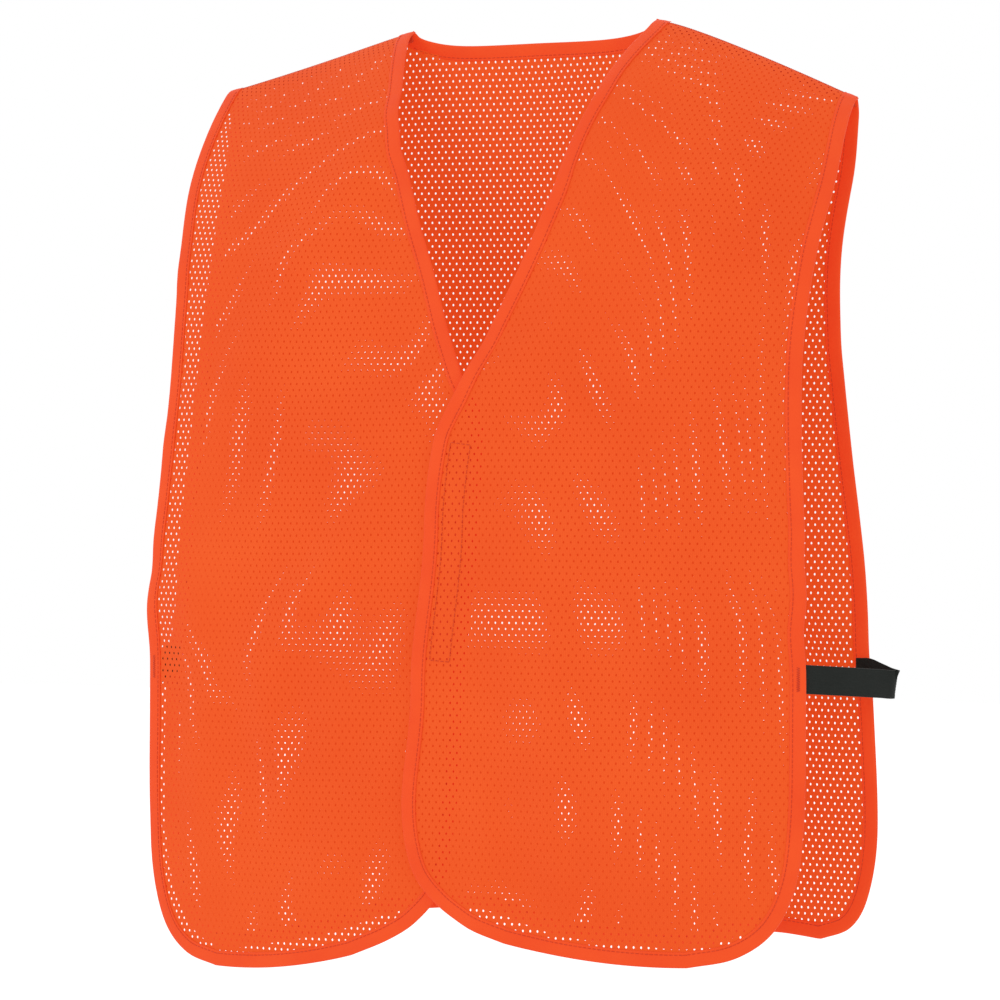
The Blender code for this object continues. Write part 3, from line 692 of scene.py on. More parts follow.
def add_mesh(name, vertices, faces, kind, flat=None):
    mesh = bpy.data.meshes.new(name)
    mesh.from_pydata(np.asarray(vertices).tolist(), [], faces)
    mesh.materials.append(kind)
    if flat is not None:
        corners = np.zeros(len(mesh.loops), np.int32)
        mesh.loops.foreach_get("vertex_index", corners)
        layer = mesh.uv_layers.new(name="cloth")
        layer.data.foreach_set("uv", np.asarray(flat, np.float32)[corners].ravel())
    mesh.shade_smooth()
    return add_object(name, mesh)


def knit_panel(name, cloth, outline, kind):
    """Perforated knit: each hole has six corners, and bars of cloth join it to its six neighbours."""
    s, t = cloth.flat(outline[:, 0], outline[:, 1])
    a0, a1 = int(s.min() / HOLE_PITCH) - 2, int(s.max() / HOLE_PITCH) + 2
    b0, b1 = int(t.min() / HOLE_ROW) - 2, int(t.max() / HOLE_ROW) + 12
    columns, rows = a1 - a0, b1 - b0
    a, b = np.meshgrid(np.arange(columns), np.arange(rows), indexing="ij")
    odd = (b + b0) % 2
    centre_s = (a + a0 + 0.5 * odd) * HOLE_PITCH
    centre_t = (b + b0) * HOLE_ROW
    corners = [(0.5, 1 / 3), (0.0, 2 / 3), (-0.5, 1 / 3), (-0.5, -1 / 3), (0.0, -2 / 3), (0.5, -1 / 3)]
    lift = [1.0, -1.0, 1.0, 1.0, -1.0, 1.0]
    flat_s = np.stack([centre_s + HOLE_PITCH * HOLE_WIDTH_SHARE * c for c, _ in corners], axis=-1)
    flat_t = np.stack([centre_t + HOLE_ROW * HOLE_HEIGHT_SHARE * c for _, c in corners], axis=-1)
    i, j, beyond = cloth.unflat(flat_s.ravel(), flat_t.ravel())
    places = cloth.at(i, j, KNIT_RELIEF * np.tile(lift, columns * rows))
    x = cloth.x[0] + i * (cloth.x[1] - cloth.x[0])
    q = j / (RASTER_ROWS - 1)
    z = shoulder_height(x) - (np.sqrt(q * q + CREST_CROWDING ** 2) - CREST_CROWDING) / cloth.scale
    usable = contains(outline, np.stack([x, z - 1e-5 * (q <= 0)], axis=1))

    number = np.arange(columns * rows * 6).reshape(columns, rows, 6)
    here = (slice(1, -2), slice(0, -1))
    ac, bc = a[here], b[here]
    shift = odd[here]
    h = number[ac, bc]
    right = number[ac + 1, bc]
    up_right = number[ac + shift, bc + 1]
    up_left = number[ac + shift - 1, bc + 1]
    quads = np.concatenate([
        np.stack([h[..., 5], right[..., 3], right[..., 2], h[..., 0]], axis=-1).reshape(-1, 4),
        np.stack([h[..., 1], h[..., 0], up_right[..., 4], up_right[..., 3]], axis=-1).reshape(-1, 4),
        np.stack([h[..., 2], h[..., 1], up_left[..., 5], up_left[..., 4]], axis=-1).reshape(-1, 4)])
    triangles = np.concatenate([
        np.stack([h[..., 1], up_right[..., 3], up_left[..., 5]], axis=-1).reshape(-1, 3),
        np.stack([h[..., 0], right[..., 2], up_right[..., 4]], axis=-1).reshape(-1, 3)])
    faces = []
    used = np.zeros(len(usable), bool)
    for group in (quads, triangles):
        kept = usable[group].all(axis=1) & ~beyond[group].all(axis=1)
        group = group[kept]
        used[group.ravel()] = True
        if cloth.outward > 0:
            group = group[:, ::-1]
        faces.append(group)
    renumber = np.cumsum(used) - 1
    faces = [renumber[group].tolist() for group in faces]
    flat = np.stack([flat_s.ravel(), flat_t.ravel()], axis=1)[used]
    return add_mesh(name, places[used], faces[0] + faces[1], kind, flat)


def edge_frames(cloth, line, step=TAPE_STEP, towards=None):
    """Stations along an edge: (place, along, inward, outward) arrays, about a step apart."""
    if towards is None:
        towards = line.mean(axis=0)
    line = resample(line, 0.0015)
    places = cloth.place(line[:, 0], line[:, 1])
    lengths = travelled(places)
    wanted = np.linspace(0.0, lengths[-1], max(int(lengths[-1] / step), 2) + 1)
    line = np.stack([np.interp(wanted, lengths, line[:, k]) for k in (0, 1)], axis=1)
    places = cloth.place(line[:, 0], line[:, 1])
    along = directions(places)
    outward = cloth.normal(line[:, 0], line[:, 1])
    inward = np.cross(outward, along)
    probe = pulled_in(line, 0.004, towards)
    if ((cloth.place(probe[:, 0], probe[:, 1]) - places) * inward).sum() < 0:
        inward = -inward
    outward = unit(outward - (outward * along).sum(axis=1, keepdims=True) * along)
    return places, along, inward, outward


def sweep(name, frames, profile, kind, swell=None):
    """A tube with one outline of (inward, outward) places at each station."""
    places, _, inward, outward = frames
    count, size = len(places), len(profile)
    b = np.array([p[0] for p in profile])
    h = np.array([p[1] for p in profile])
    grown = np.ones(count) if swell is None else swell
    vertices = (places[:, None] + inward[:, None] * b[None, :, None]
                + outward[:, None] * (h[None, :] * grown[:, None])[:, :, None])
    faces = []
    for k in range(count - 1):
        this, after = k * size, (k + 1) * size
        for m in range(size):
            n = (m + 1) % size
            faces.append((this + m, after + m, after + n, this + n))
    faces.append(tuple(range(size)))
    faces.append(tuple(range(count * size - 1, (count - 1) * size - 1, -1)))
    lengths = travelled(places)
    around = np.concatenate([[0.0], np.cumsum(np.hypot(np.diff(b), np.diff(h)))])
    flat = np.stack([np.repeat(lengths, size), np.tile(around, count)], axis=1)
    made = add_mesh(name, vertices.reshape(-1, 3), faces, kind, flat)
    face_outward(made)
    return made


def face_outward(made):
    """Turns a closed piece's faces outward, judged by its volume."""
    mesh = made.data
    mesh.calc_loop_triangles()
    corners = np.zeros(len(mesh.loop_triangles) * 3, np.int32)
    mesh.loop_triangles.foreach_get("vertices", corners)
    points = np.zeros(len(mesh.vertices) * 3, np.float32)
    mesh.vertices.foreach_get("co", points)
    a, b, c = points.reshape(-1, 3).astype(float)[corners.reshape(-1, 3)].transpose(1, 0, 2)
    if (a * np.cross(b, c)).sum() < 0:
        mesh.flip_normals()


# The folded tape's section as (inward, outward). Its face dips at the thread line.
TAPE_FACE = [(0.0095, 0.00060), (0.0093, 0.00090), (0.0086, 0.00095), (0.0076, 0.00078), (0.0062, 0.00102),
             (0.0040, 0.00110), (0.0015, 0.00108), (0.0, 0.00095), (-0.0008, 0.00055)]
TAPE_FOLD = [(-0.0011, 0.0)]
TAPE_LINING = [(0.0090, -0.00045), (0.0004, -0.00035), (0.0004, 0.00035), (0.0090, 0.00045)]
TAPE_PROFILE = TAPE_FACE + TAPE_FOLD + [(b, -h) for b, h in reversed(TAPE_FACE)] + TAPE_LINING


def pucker(count, seed):
    """A slow, uneven swelling along a sewn edge."""
    k = np.arange(count) * TAPE_STEP
    phases = np.random.RandomState(seed).uniform(0.0, 2.0 * pi, len(PUCKER_WAVES))
    waves = [np.sin(2.0 * pi * k / length + phase) for length, phase in zip(PUCKER_WAVES, phases)]
    return 1.0 + PUCKER_SHARE * (sum(waves) / len(PUCKER_WAVES))


def capsule(length, radius, sides=6, sink=0.0):
    """One stitch along the first axis, its ends narrower and sunk by a share of the radius."""
    vertices = []
    for u, r, drop in ((-0.5, 0.35, sink), (-0.34, 0.95, 0.0), (0.34, 0.95, 0.0), (0.5, 0.35, sink)):
        for k in range(sides):
            angle = 2.0 * pi * k / sides
            wide, high = r * radius * cos(angle), r * radius * sin(angle)
            vertices.append((u * length, wide, high - drop * radius))
    faces = []
    for ring in range(3):
        for k in range(sides):
            n = (k + 1) % sides
            this, after = ring * sides, (ring + 1) * sides
            faces.append((this + k, this + n, after + n, after + k))
    faces.append(tuple(reversed(range(sides))))
    faces.append(tuple(range(3 * sides, 4 * sides)))
    return np.array(vertices), faces


def scatter(name, shape, origins, first, second, third, kind):
    """Copies of a small closed shape at many places, each turned to its own three axes."""
    vertices, faces = shape
    placed = (origins[:, None] + first[:, None] * vertices[None, :, :1]
              + second[:, None] * vertices[None, :, 1:2] + third[:, None] * vertices[None, :, 2:])
    size = len(vertices)
    every = []
    for k in range(len(origins)):
        every += [tuple(k * size + v for v in face) for face in faces]
    flat = np.tile(vertices[:, :2], (len(origins), 1))
    made = add_mesh(name, placed.reshape(-1, 3), every, kind, flat)
    face_outward(made)
    return made


def join(name, pieces):
    """One object of several, keeping each one's material."""
    first = pieces[0]
    with bpy.context.temp_override(active_object=first, object=first, selected_objects=pieces,
                                   selected_editable_objects=pieces):
        bpy.ops.object.join()
    first.name = name
    first.data.name = name
    return first


def stitching(name, cloth, line, towards=None):
    """Lockstitch along an edge, seen on both faces of the tape."""
    places, along, inward, outward = edge_frames(cloth, line, STITCH_PITCH, towards)
    skip = int(STITCH_MARGIN / STITCH_PITCH) + 1
    shape = capsule(STITCH_LENGTH, THREAD_RADIUS, sink=0.8)
    origins, first, second, third = [], [], [], []
    for face in (1.0, -1.0):
        origins.append((places + inward * STITCH_INSET + outward * STITCH_LIFT * face)[skip:-skip])
        first.append(along[skip:-skip])
        second.append(inward[skip:-skip] * face)
        third.append(outward[skip:-skip] * face)
    return scatter(name, shape, *[np.concatenate(v) for v in (origins, first, second, third)], THREAD)


# ---------------------------------------------------------------- materials

def nodes_of(name):
    kind = bpy.data.materials.new(name)
    kind.use_nodes = True
    tree = kind.node_tree
    return kind, tree, tree.nodes["Principled BSDF"]


def add_node(tree, kind, **values):
    """A node with its properties or inputs set by name."""
    node = tree.nodes.new(kind)
    for key, value in values.items():
        if key in node.inputs:
            node.inputs[key].default_value = value
        else:
            setattr(node, key, value)
    return node


def coordinates(tree, scale):
    """The cloth's own flat coordinates, scaled."""
    source = add_node(tree, "ShaderNodeUVMap", uv_map="cloth")
    mapping = add_node(tree, "ShaderNodeMapping")
    mapping.inputs["Scale"].default_value = scale
    tree.links.new(source.outputs["UV"], mapping.inputs["Vector"])
    return mapping.outputs["Vector"]


def colour_ramp(tree, source, stops):
    ramp = add_node(tree, "ShaderNodeValToRGB")
    while len(ramp.color_ramp.elements) < len(stops):
        ramp.color_ramp.elements.new(0.5)
    for element, (place, colour) in zip(ramp.color_ramp.elements, stops):
        element.position = place
        element.color = (*colour, 1.0)
    tree.links.new(source, ramp.inputs["Fac"])
    return ramp.outputs["Color"]


def mix_colour(tree, blend, share, first, second):
    mix = add_node(tree, "ShaderNodeMix", data_type="RGBA", blend_type=blend)
    mix.inputs["Factor"].default_value = share
    sockets = [s for s in mix.inputs if s.type == "RGBA"]
    tree.links.new(first, sockets[0])
    tree.links.new(second, sockets[1])
    return [s for s in mix.outputs if s.type == "RGBA"][0]


def maths(tree, operation, first, second):
    node = add_node(tree, "ShaderNodeMath", operation=operation)
    for socket, value in zip(node.inputs, (first, second)):
        if isinstance(value, float):
            socket.default_value = value
        else:
            tree.links.new(value, socket)
    return node.outputs[0]


def soft_noise(tree, scale, detail=3.0, roughness=0.55):
    source = add_node(tree, "ShaderNodeTexCoord")
    noise = add_node(tree, "ShaderNodeTexNoise", Scale=scale, Detail=detail, Roughness=roughness)
    tree.links.new(source.outputs["Object"], noise.inputs["Vector"])
    return noise.outputs["Fac"]


def grid_wave(tree, vector, direction, distortion, scale=1.0):
    wave = add_node(tree, "ShaderNodeTexWave", bands_direction=direction, Scale=scale,
                    Distortion=distortion)
    wave.inputs["Detail"].default_value = 1.0
    wave.inputs["Detail Scale"].default_value = 2.0
    tree.links.new(vector, wave.inputs["Vector"])
    return wave.outputs["Fac"]


def finish_cloth(tree, shader, height, colour, strength, distance, roughness, painted_glow, sheen):
    """Links colour, bump and roughness, and sets what is the same all over on the shader itself, the painted
    glow among it.
    """
    bump = add_node(tree, "ShaderNodeBump", Strength=strength, Distance=distance)
    tree.links.new(height, bump.inputs["Height"])
    tree.links.new(bump.outputs["Normal"], shader.inputs["Normal"])
    tree.links.new(colour, shader.inputs["Base Color"])
    worn = add_node(tree, "ShaderNodeMapRange")
    worn.inputs["To Min"].default_value = roughness[0]
    worn.inputs["To Max"].default_value = roughness[1]
    tree.links.new(soft_noise(tree, 60.0), worn.inputs["Value"])
    tree.links.new(worn.outputs["Result"], shader.inputs["Roughness"])
    shader.inputs["Sheen Weight"].default_value = sheen
    shader.inputs["Sheen Roughness"].default_value = 0.5
    shader.inputs["Specular IOR Level"].default_value = 0.12
    # The emission is painted glow, not a lamp.
    if painted_glow:
        shader.inputs["Emission Color"].default_value = (*painted_glow[0], 1.0)
        shader.inputs["Emission Strength"].default_value = painted_glow[1]


# Painted glow: a steady emission that lights the cloth even in shade. It is partly the dye's real
# fluorescence and partly painted light standing in for light bounced inside the vest. The knit's glow is
# more orange; the tape's is more red, so its shaded faces turn red.
KNIT_PAINTED_GLOW = ((1.0, 0.085, 0.012), 0.52)
TAPE_PAINTED_GLOW = ((1.0, 0.035, 0.012), 0.48)


def knit_material():
    kind, tree, shader = nodes_of("orange_mesh_knit")
    loops = coordinates(tree, (1 / HOLE_PITCH, 1 / HOLE_ROW, 1.0))
    wales = grid_wave(tree, loops, "X", 0.6, 1.25)
    courses = grid_wave(tree, loops, "Y", 1.0, 1.6)
    height = maths(tree, "MULTIPLY", wales, courses)
    cloudy = soft_noise(tree, 9.0, 2.0)
    broad = colour_ramp(tree, cloudy, [(0.30, (0.300, 0.042, 0.006)), (0.70, (0.330, 0.056, 0.008))])
    # Darker where the knit's height is low: partly the knit's own loop pattern, partly painted shade in the
    # hollows between the loops.
    yarn_and_hollow_shade = colour_ramp(tree, height, [(0.0, (0.86, 0.78, 0.74)), (0.6, (1.0, 1.0, 1.0))])
    colour = mix_colour(tree, "MULTIPLY", 1.0, broad, yarn_and_hollow_shade)
    finish_cloth(tree, shader, height, colour, 0.35, 0.0002, (0.68, 0.82), KNIT_PAINTED_GLOW, 0.02)
    return kind


def tape_material():
    kind, tree, shader = nodes_of("orange_binding_tape")
    weave = coordinates(tree, (900.0, 900.0, 1.0))
    warp = grid_wave(tree, weave, "X", 0.3, 0.35)
    weft = grid_wave(tree, weave, "Y", 0.3, 0.5)
    height = maths(tree, "ADD", warp, weft)
    cloudy = soft_noise(tree, 30.0, 3.0)
    broad = colour_ramp(tree, cloudy, [(0.3, (0.320, 0.046, 0.005)), (0.7, (0.350, 0.058, 0.007))])
    finish_cloth(tree, shader, height, broad, 0.25, 0.00012, (0.55, 0.70), TAPE_PAINTED_GLOW, 0.05)
    return kind


def thread_material():
    kind, tree, shader = nodes_of("orange_thread_spun")
    twist = coordinates(tree, (1400.0, 1400.0, 1.0))
    height = grid_wave(tree, twist, "DIAGONAL", 0.5, 0.8)
    cloudy = soft_noise(tree, 80.0)
    colour = colour_ramp(tree, cloudy, [(0.3, (0.30, 0.030, 0.006)), (0.7, (0.36, 0.044, 0.009))])
    # The thread's painted glow is weaker than the tape's, so the stitch line reads darker and redder: partly
    # the thread's own tone, partly painted shade for the shadow along the tape's inner edge.
    finish_cloth(tree, shader, height, colour, 0.4, 0.0001, (0.45, 0.6), (TAPE_PAINTED_GLOW[0], 0.22), 0.08)
    return kind


def strip_material(name, dark, light, bump, sheen):
    kind, tree, shader = nodes_of(name)
    fuzz = soft_noise(tree, 1600.0, 4.0, 0.7)
    colour = colour_ramp(tree, fuzz, [(0.3, dark), (0.7, light)])
    # A weak painted glow in the tape's red lights the strips even in shade.
    finish_cloth(tree, shader, fuzz, colour, bump, 0.0004, (0.5, 0.9), (TAPE_PAINTED_GLOW[0], 0.2), sheen)
    return kind


def elastic_material():
    kind, tree, shader = nodes_of("black_ribbed_elastic")
    weave = coordinates(tree, (1000.0, 1000.0, 1.0))
    across = grid_wave(tree, weave, "X", 0.2, 0.42)
    ribs = grid_wave(tree, weave, "Y", 0.4, 0.9)
    height = maths(tree, "ADD", across, ribs)
    # Darker in the grooves and lighter on the ribs' tops, following the bump's height: painted shade.
    colour = colour_ramp(tree, height, [(0.0, (0.0035, 0.0045, 0.0035)), (1.0, (0.0075, 0.0100, 0.0080))])
    finish_cloth(tree, shader, height, colour, 0.5, 0.00015, (0.6, 0.8), None, 0.12)
    return kind


# ---------------------------------------------------------------- sewn pieces

def binding(name, cloth, line, seed, towards=None):
    """Folded tape along an edge. Its cut ends stand a little above the shoulder."""
    places, along, inward, outward = edge_frames(cloth, line, towards=towards)
    frames = []
    for values, growth in ((places, along), (along, None), (inward, None), (outward, None)):
        first, last = values[0], values[-1]
        if growth is not None:
            first = first - growth[0] * TAPE_END_OVERHANG
            last = last + growth[-1] * TAPE_END_OVERHANG
        frames.append(np.vstack([first, values, last]))
    return sweep(name, frames, TAPE_PROFILE, TAPE, pucker(len(frames[0]), seed))


def fastener_frames(side, cloth, offset):
    z = np.linspace(FASTENER_TOP, FASTENER_TOP - FASTENER_LENGTH, FASTENER_STATIONS)
    x = closing_x(z) + SIDE_SIGN[side] * FASTENER_ASIDE
    places = cloth.place(x, z, offset)
    along = directions(places)
    outward = cloth.normal(x, z)
    return places, along, np.cross(outward, along), outward


def fastener(side, cloth, kind):
    """A strip with its hooks or its loops, on the face that meets the other front."""
    name = "hook_strip" if side == "left" else "loop_strip"
    to_face = -SIDE_SIGN[side]
    places, along, inward, outward = fastener_frames(side, cloth, to_face * FASTENER_OFFSET)
    half = FASTENER_WIDTH / 2
    thick = FASTENER_THICKNESS / 2
    profile = [(-half, 0.0), (FASTENER_BEVEL - half, thick), (half - FASTENER_BEVEL, thick),
               (half, 0.0), (half - FASTENER_BEVEL, -thick), (FASTENER_BEVEL - half, -thick)]
    base = sweep(name + "_tape", (places, along, inward, outward), profile, kind)
    rng = np.random.RandomState(FASTENER_SEED[side])
    last = FASTENER_STATIONS - 1
    rows = np.linspace(1.5, last - 1.5, TUFT_ROWS)
    across = np.linspace(TUFT_MARGIN - half, half - TUFT_MARGIN, TUFT_COLUMNS)
    k, b = np.meshgrid(rows, across, indexing="ij")
    k, b = k.ravel(), b.ravel()
    if side == "right":
        k = np.clip(k + rng.uniform(-0.5, 0.5, k.shape), 1.0, last - 1.0)
        b = b + rng.uniform(-LOOP_STRAY, LOOP_STRAY, b.shape)
    low = k.astype(int)
    part = (k - low)[:, None]

    def between(values):
        return values[low] * (1 - part) + values[low + 1] * part

    face = between(outward) * to_face
    origins = between(places) + between(inward) * b[:, None] + face * TUFT_LIFT[side]
    if side == "left":
        shape = capsule(HOOK_LENGTH, HOOK_RADIUS, 5)
        first, second, third = face, between(along), between(inward)
    else:
        shape = capsule(LOOP_LENGTH, LOOP_RADIUS, 4, sink=2.0)
        angle = rng.uniform(0.0, pi, k.shape)[:, None]
        first = between(along) * np.cos(angle) + between(inward) * np.sin(angle)
        second = between(inward) * np.cos(angle) - between(along) * np.sin(angle)
        third = face
    tufts = scatter(name + "_tufts", shape, origins, first, second, third, kind)
    return join(name + "_tufted", [base, tufts])


def fastener_stitching(side, cloth):
    """A rectangle of lockstitch just inside the strip's edges, seen from the other face."""
    sign = SIDE_SIGN[side]
    name = ("hook" if side == "left" else "loop") + "_strip_lockstitch"
    places, _, inward, outward = fastener_frames(side, cloth, sign * THREAD_LIFT)
    reach = inward[1:-1] * (FASTENER_WIDTH / 2 - FASTENER_STITCH_INSET)
    one, other = places[1:-1] - reach, places[1:-1] + reach
    origins, first = [], []
    for line in (one, np.array([one[-1], other[-1]]), other[::-1], np.array([other[0], one[0]])):
        run = resample(line, STITCH_PITCH)
        origins.append((run[1:] + run[:-1]) / 2)
        first.append(unit(np.diff(run, axis=0)))
    origins, first = np.concatenate(origins), np.concatenate(first)
    third = np.tile(outward.mean(axis=0) * sign, (len(origins), 1))
    shape = capsule(STITCH_LENGTH, THREAD_RADIUS, sink=0.8)
    return scatter(name, shape, origins, first, np.cross(third, first), third, THREAD)


def edge_at(outline, z, sign):
    """Sideways place of an outline's outer edge at a height."""
    outer = outline[outline[:, 0] * sign > 0.15]
    order = np.argsort(outer[:, 1])
    return float(np.interp(z, outer[order, 1], outer[order, 0]))


def sewn_end(cloth, outline, z, sign):
    """The place on an edge where a strap is sewn, with its inward and outward directions."""
    x = edge_at(outline, z, sign)
    edge = cloth.place(x, z)
    inward = unit(cloth.place(x - sign * SEWN_REACH, z) - edge)
    outward = cloth.normal(x, z)
    return edge, inward, unit(outward - inward * outward.dot(inward))


def strap(side, front_end, back_end):
    """Ribbed elastic sewn inside both panels' edges and folded outward where it hangs slack."""
    sign = SIDE_SIGN[side]
    inside = STRAP_INSIDE + STRAP_THICKNESS / 2
    tongues = []
    for edge, inward, outward in (front_end, back_end):
        reach = [inward * share * STRAP_TONGUE - outward * inside for share in (1.0, 0.5, 0.0)]
        tongues.append([edge + place for place in reach])
    radius = STRAP_FOLD_RADIUS[side]
    fold = np.array([sign * STRAP_FOLD[side][0], STRAP_FOLD[side][1], STRAP_HEIGHT["fold"]])
    start, finish = tongues[0][2], tongues[1][2]
    route = [*tongues[0]]
    for share in (0.12, 0.3, 0.5, 0.7, 0.85):
        slack = np.array([sign * STRAP_SLACK * sin(pi * share), 0.0, 0.0])
        route.append(start + (fold - start) * share + slack)
    towards = unit((start + finish) / 2 - fold)
    square = unit(finish - start)
    for angle in np.linspace(-70.0, 70.0, 7):
        turn = radians(angle)
        route.append(fold + towards * radius * (1.0 - cos(turn)) + square * radius * sin(turn))
    for share in (0.8, 0.55, 0.3):
        route.append(finish + (fold - finish) * share)
    route += tongues[1][::-1]
    places = resample(through(route, 0.0006), 0.0012)
    along = directions(places)
    up = UP - along * along[:, 2:]
    out = np.abs(places[:, 0]) - 0.9 * abs(fold[0]) - 0.02
    lean = STRAP_FOLD_TILT * smooth_step(np.maximum(out, 0.0) / 0.012)
    up = unit(up + np.array([sign, 0.0, 0.0]) * lean[:, None])
    face = unit(np.cross(along, up))
    half = STRAP_WIDTH / 2
    across = np.linspace(-half + 0.0004, half - 0.0004, STRAP_RIBS * 4 + 1)
    thick = STRAP_THICKNESS / 2 * (0.88 + 0.12 * np.cos(2 * pi * STRAP_RIBS * (across + half) / STRAP_WIDTH))
    profile = [(-half, 0.0)] + list(zip(across, thick)) + [(half, 0.0)]
    profile += list(zip(across[::-1], -thick[::-1]))
    return sweep(side + "_side_strap_elastic", (places, along, up, face), profile, ELASTIC)


def bar_tack(name, end):
    """Dense zigzag stitches across the tape over a strap's sewn end, on both faces."""
    edge, inward, outward = end
    along = np.cross(inward, outward)
    steps = np.linspace(-0.5, 0.5, TACK_STITCHES) * TACK_LENGTH
    origins, first, second, third = [], [], [], []
    for face in (1.0, -1.0):
        for k, step in enumerate(steps):
            lean = unit(along * (TACK_LEAN if k % 2 else -TACK_LEAN) + inward)
            origins.append(edge + inward * TACK_INSET + outward * TACK_LIFT * face + along * step)
            first.append(lean)
            third.append(outward * face)
            second.append(np.cross(outward * face, lean))
    shape = capsule(TACK_STITCH, TACK_RADIUS, sink=0.6)
    return scatter(name, shape, *[np.array(v) for v in (origins, first, second, third)], THREAD)


def shoulder_seam(side):
    """The seam allowance turned down inside the shoulder, bound with slanting overlock threads."""
    x = SIDE_SIGN[side] * np.linspace(NECK_HALF_WIDTH + SEAM_END_GAP, SHOULDER_HALF_WIDTH - SEAM_END_GAP, 70)
    crest = BACK.place(x, shoulder_height(x))
    along = directions(crest)
    down = np.tile(-UP, (len(x), 1))
    profile = SEAM_FACE + [(0.0066, 0.0)] + [(b, -h) for b, h in reversed(SEAM_FACE)]
    ridge_frames = (crest, along, down, np.cross(along, down))
    seam = sweep(side + "_seam_ridge", ridge_frames, profile, THREAD)
    run = resample(crest, SEAM_STEP)
    run_along = directions(run)
    origins, first, second, third = [], [], [], []
    for face in (1.0, -1.0):
        normal = np.cross(run_along, -UP) * face
        lean = unit(run_along * 0.25 * face - UP)
        origins.append(run - UP * SEAM_MIDDLE + normal * SEAM_LIFT)
        first.append(lean)
        third.append(normal)
        second.append(np.cross(normal, lean))
    threads = scatter(side + "_seam_threads", capsule(0.0060, 0.00024, 5, sink=0.8),
                      *[np.concatenate(v) for v in (origins, first, second, third)], THREAD)
    line = scatter(side + "_seam_line", capsule(0.0013, 0.00045, 5), run + UP * 0.0002, run_along,
                   np.cross(UP, run_along), np.tile(UP, (len(run), 1)), THREAD)
    return join(side + "_shoulder_seam_overlock", [seam, threads, line])


# ---------------------------------------------------------------- the vest

set_camera()
set_light()
add_floor()

KNIT = knit_material()
TAPE = tape_material()
THREAD = thread_material()
HOOKS = strip_material("orange_nylon_hooks", (0.42, 0.035, 0.008), (0.60, 0.06, 0.012), 0.2, 0.05)
LOOPS = strip_material("orange_nylon_loops", (0.45, 0.045, 0.010), (0.66, 0.08, 0.015), 0.8, 0.4)
ELASTIC = elastic_material()

BACK = Cloth(back_depth, 1.0)
FRONTS = {side: Cloth(front_depth(side), -1.0) for side in SIDE_SIGN}
BACK_LINE = back_outline()
NECK_LINE = neck_outline()
BELOW_NECK = np.array([0.0, -0.3])
FRONT_LINE = {side: front_outline(side) for side in SIDE_SIGN}


def held_at_strap(wide, level, aside, height):
    away = ((np.abs(wide) - aside) / HELD_STRAP_RADIUS) ** 2 + ((level - height) / HELD_STRAP_RADIUS) ** 2
    return np.exp(-away)


def held_front(wide, level):
    """The fronts are held at the fastener and at the strap."""
    closing = np.exp(-((wide - closing_x(level)) / HELD_CLOSING_WIDTH) ** 4)
    closing = closing * (level < FASTENER_TOP + HELD_CLOSING_WIDTH)
    sewn = held_at_strap(wide, level, HELD_ASIDE["front"], STRAP_HEIGHT["front"])
    return HELD_STRENGTH * np.maximum(closing, sewn)


def held_back(wide, level):
    return HELD_STRENGTH * held_at_strap(wide, level, HELD_ASIDE["back"], STRAP_HEIGHT["back"])


def panel_outline(line):
    """The knit's own outline: just inside the folded tape, and open at the shoulder line."""
    inner = pulled_in(line, EDGE_INSIDE_TAPE, line.mean(axis=0))
    first, last = inner[0] + (0.0, 0.03), inner[-1] + (0.0, 0.03)
    return np.vstack([first, inner, last])


def finished(piece, node, slot, side=None):
    """Hides the imported part. Back pieces ride on the back; front pieces are baked where they are."""
    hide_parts(node)
    if side is None:
        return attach(piece, "back")
    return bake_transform(piece)


def declare_sheet(cloth, outline):
    """Works out the width, length and area of a panel's flat cut, and keeps none of them."""
    s, t = cloth.flat(outline[:, 0], outline[:, 1])
    area = 0.5 * abs(np.dot(s, np.roll(t, -1)) - np.dot(t, np.roll(s, -1)))
    float(np.ptp(s))
    float(np.ptp(t))


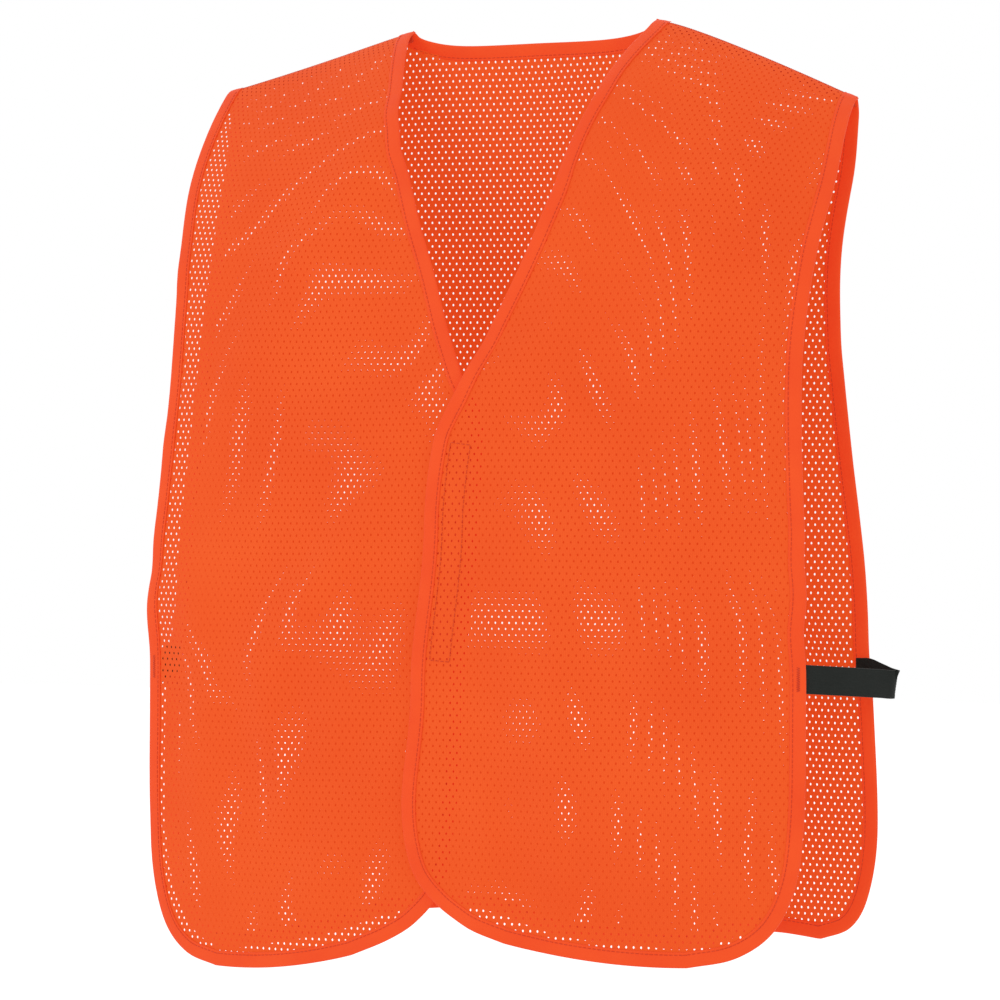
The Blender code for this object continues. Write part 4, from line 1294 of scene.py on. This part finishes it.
def make_back():
    outline = np.vstack([panel_outline(BACK_LINE), pulled_in(NECK_LINE, EDGE_INSIDE_TAPE, BELOW_NECK)])
    panel = knit_panel("back_panel_knit", BACK, outline, KNIT)
    finished(panel, "back_panel", "mesh")
    edge = binding("back_outer_binding_tape", BACK, BACK_LINE, 11)
    finished(edge, "back_outer_binding", "tape")
    neck_edge = binding("back_neck_binding_tape", BACK, NECK_LINE, 12, BELOW_NECK)
    finished(neck_edge, "back_neck_binding", "tape")
    threads = stitching("back_outer_lockstitch", BACK, BACK_LINE)
    finished(threads, "back_outer_stitching", "thread")
    neck_threads = stitching("back_neck_lockstitch", BACK, NECK_LINE, BELOW_NECK)
    finished(neck_threads, "back_neck_stitching", "thread")
    declare_sheet(BACK, np.vstack([BACK_LINE, NECK_LINE]))


def make_front(side):
    cloth, line = FRONTS[side], FRONT_LINE[side]
    panel = knit_panel(side + "_front_panel_knit", cloth, panel_outline(line), KNIT)
    finished(panel, side + "_front_panel", "mesh", side)
    edge = binding(side + "_front_binding_tape", cloth, line, 13 if side == "left" else 14)
    finished(edge, side + "_front_binding", "tape", side)
    threads = stitching(side + "_front_lockstitch", cloth, line)
    finished(threads, side + "_front_stitching", "thread", side)
    kind, slot, word = (HOOKS, "hooks", "hook") if side == "left" else (LOOPS, "loops", "loop")
    strip = fastener(side, cloth, kind)
    finished(strip, word + "_strip", slot, side)
    strip_threads = fastener_stitching(side, cloth)
    finished(strip_threads, word + "_strip_stitching", "thread", side)
    declare_sheet(cloth, line)


def make_side(side):
    """The strap, its bar tacks and the shoulder seam of one side."""
    sign = SIDE_SIGN[side]
    front_end = sewn_end(FRONTS[side], FRONT_LINE[side], STRAP_HEIGHT["front"], sign)
    back_end = sewn_end(BACK, BACK_LINE, STRAP_HEIGHT["back"], sign)
    band = strap(side, front_end, back_end)
    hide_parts(side + "_side_strap")
    middle = (front_end[0] + back_end[0]) / 2
    outward = unit(np.cross(back_end[0] - front_end[0], (0.0, 0.0, sign)))
    start, end = (tuple(middle + outward * reach) for reach in STRAP_SWING)
    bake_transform(band)
    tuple(start)
    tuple(end)
    tack = bar_tack(side + "_front_bar_tack_zigzag", front_end)
    finished(tack, side + "_front_bar_tack", "thread", side)
    tack = bar_tack(side + "_back_bar_tack_zigzag", back_end)
    finished(tack, side + "_back_bar_tack", "thread")
    finished(shoulder_seam(side), side + "_shoulder_seam", "thread")


BACK.fold(BACK_FOLDS)
for each, cloth in FRONTS.items():
    cloth.fold(FRONT_FOLDS[each], closing_x)
hang(BACK, np.vstack([panel_outline(BACK_LINE), NECK_LINE]), held_back)
for each, cloth in FRONTS.items():
    hang(cloth, panel_outline(FRONT_LINE[each]), held_front)

make_back()
for each in SIDE_SIGN:
    make_front(each)
    make_side(each)
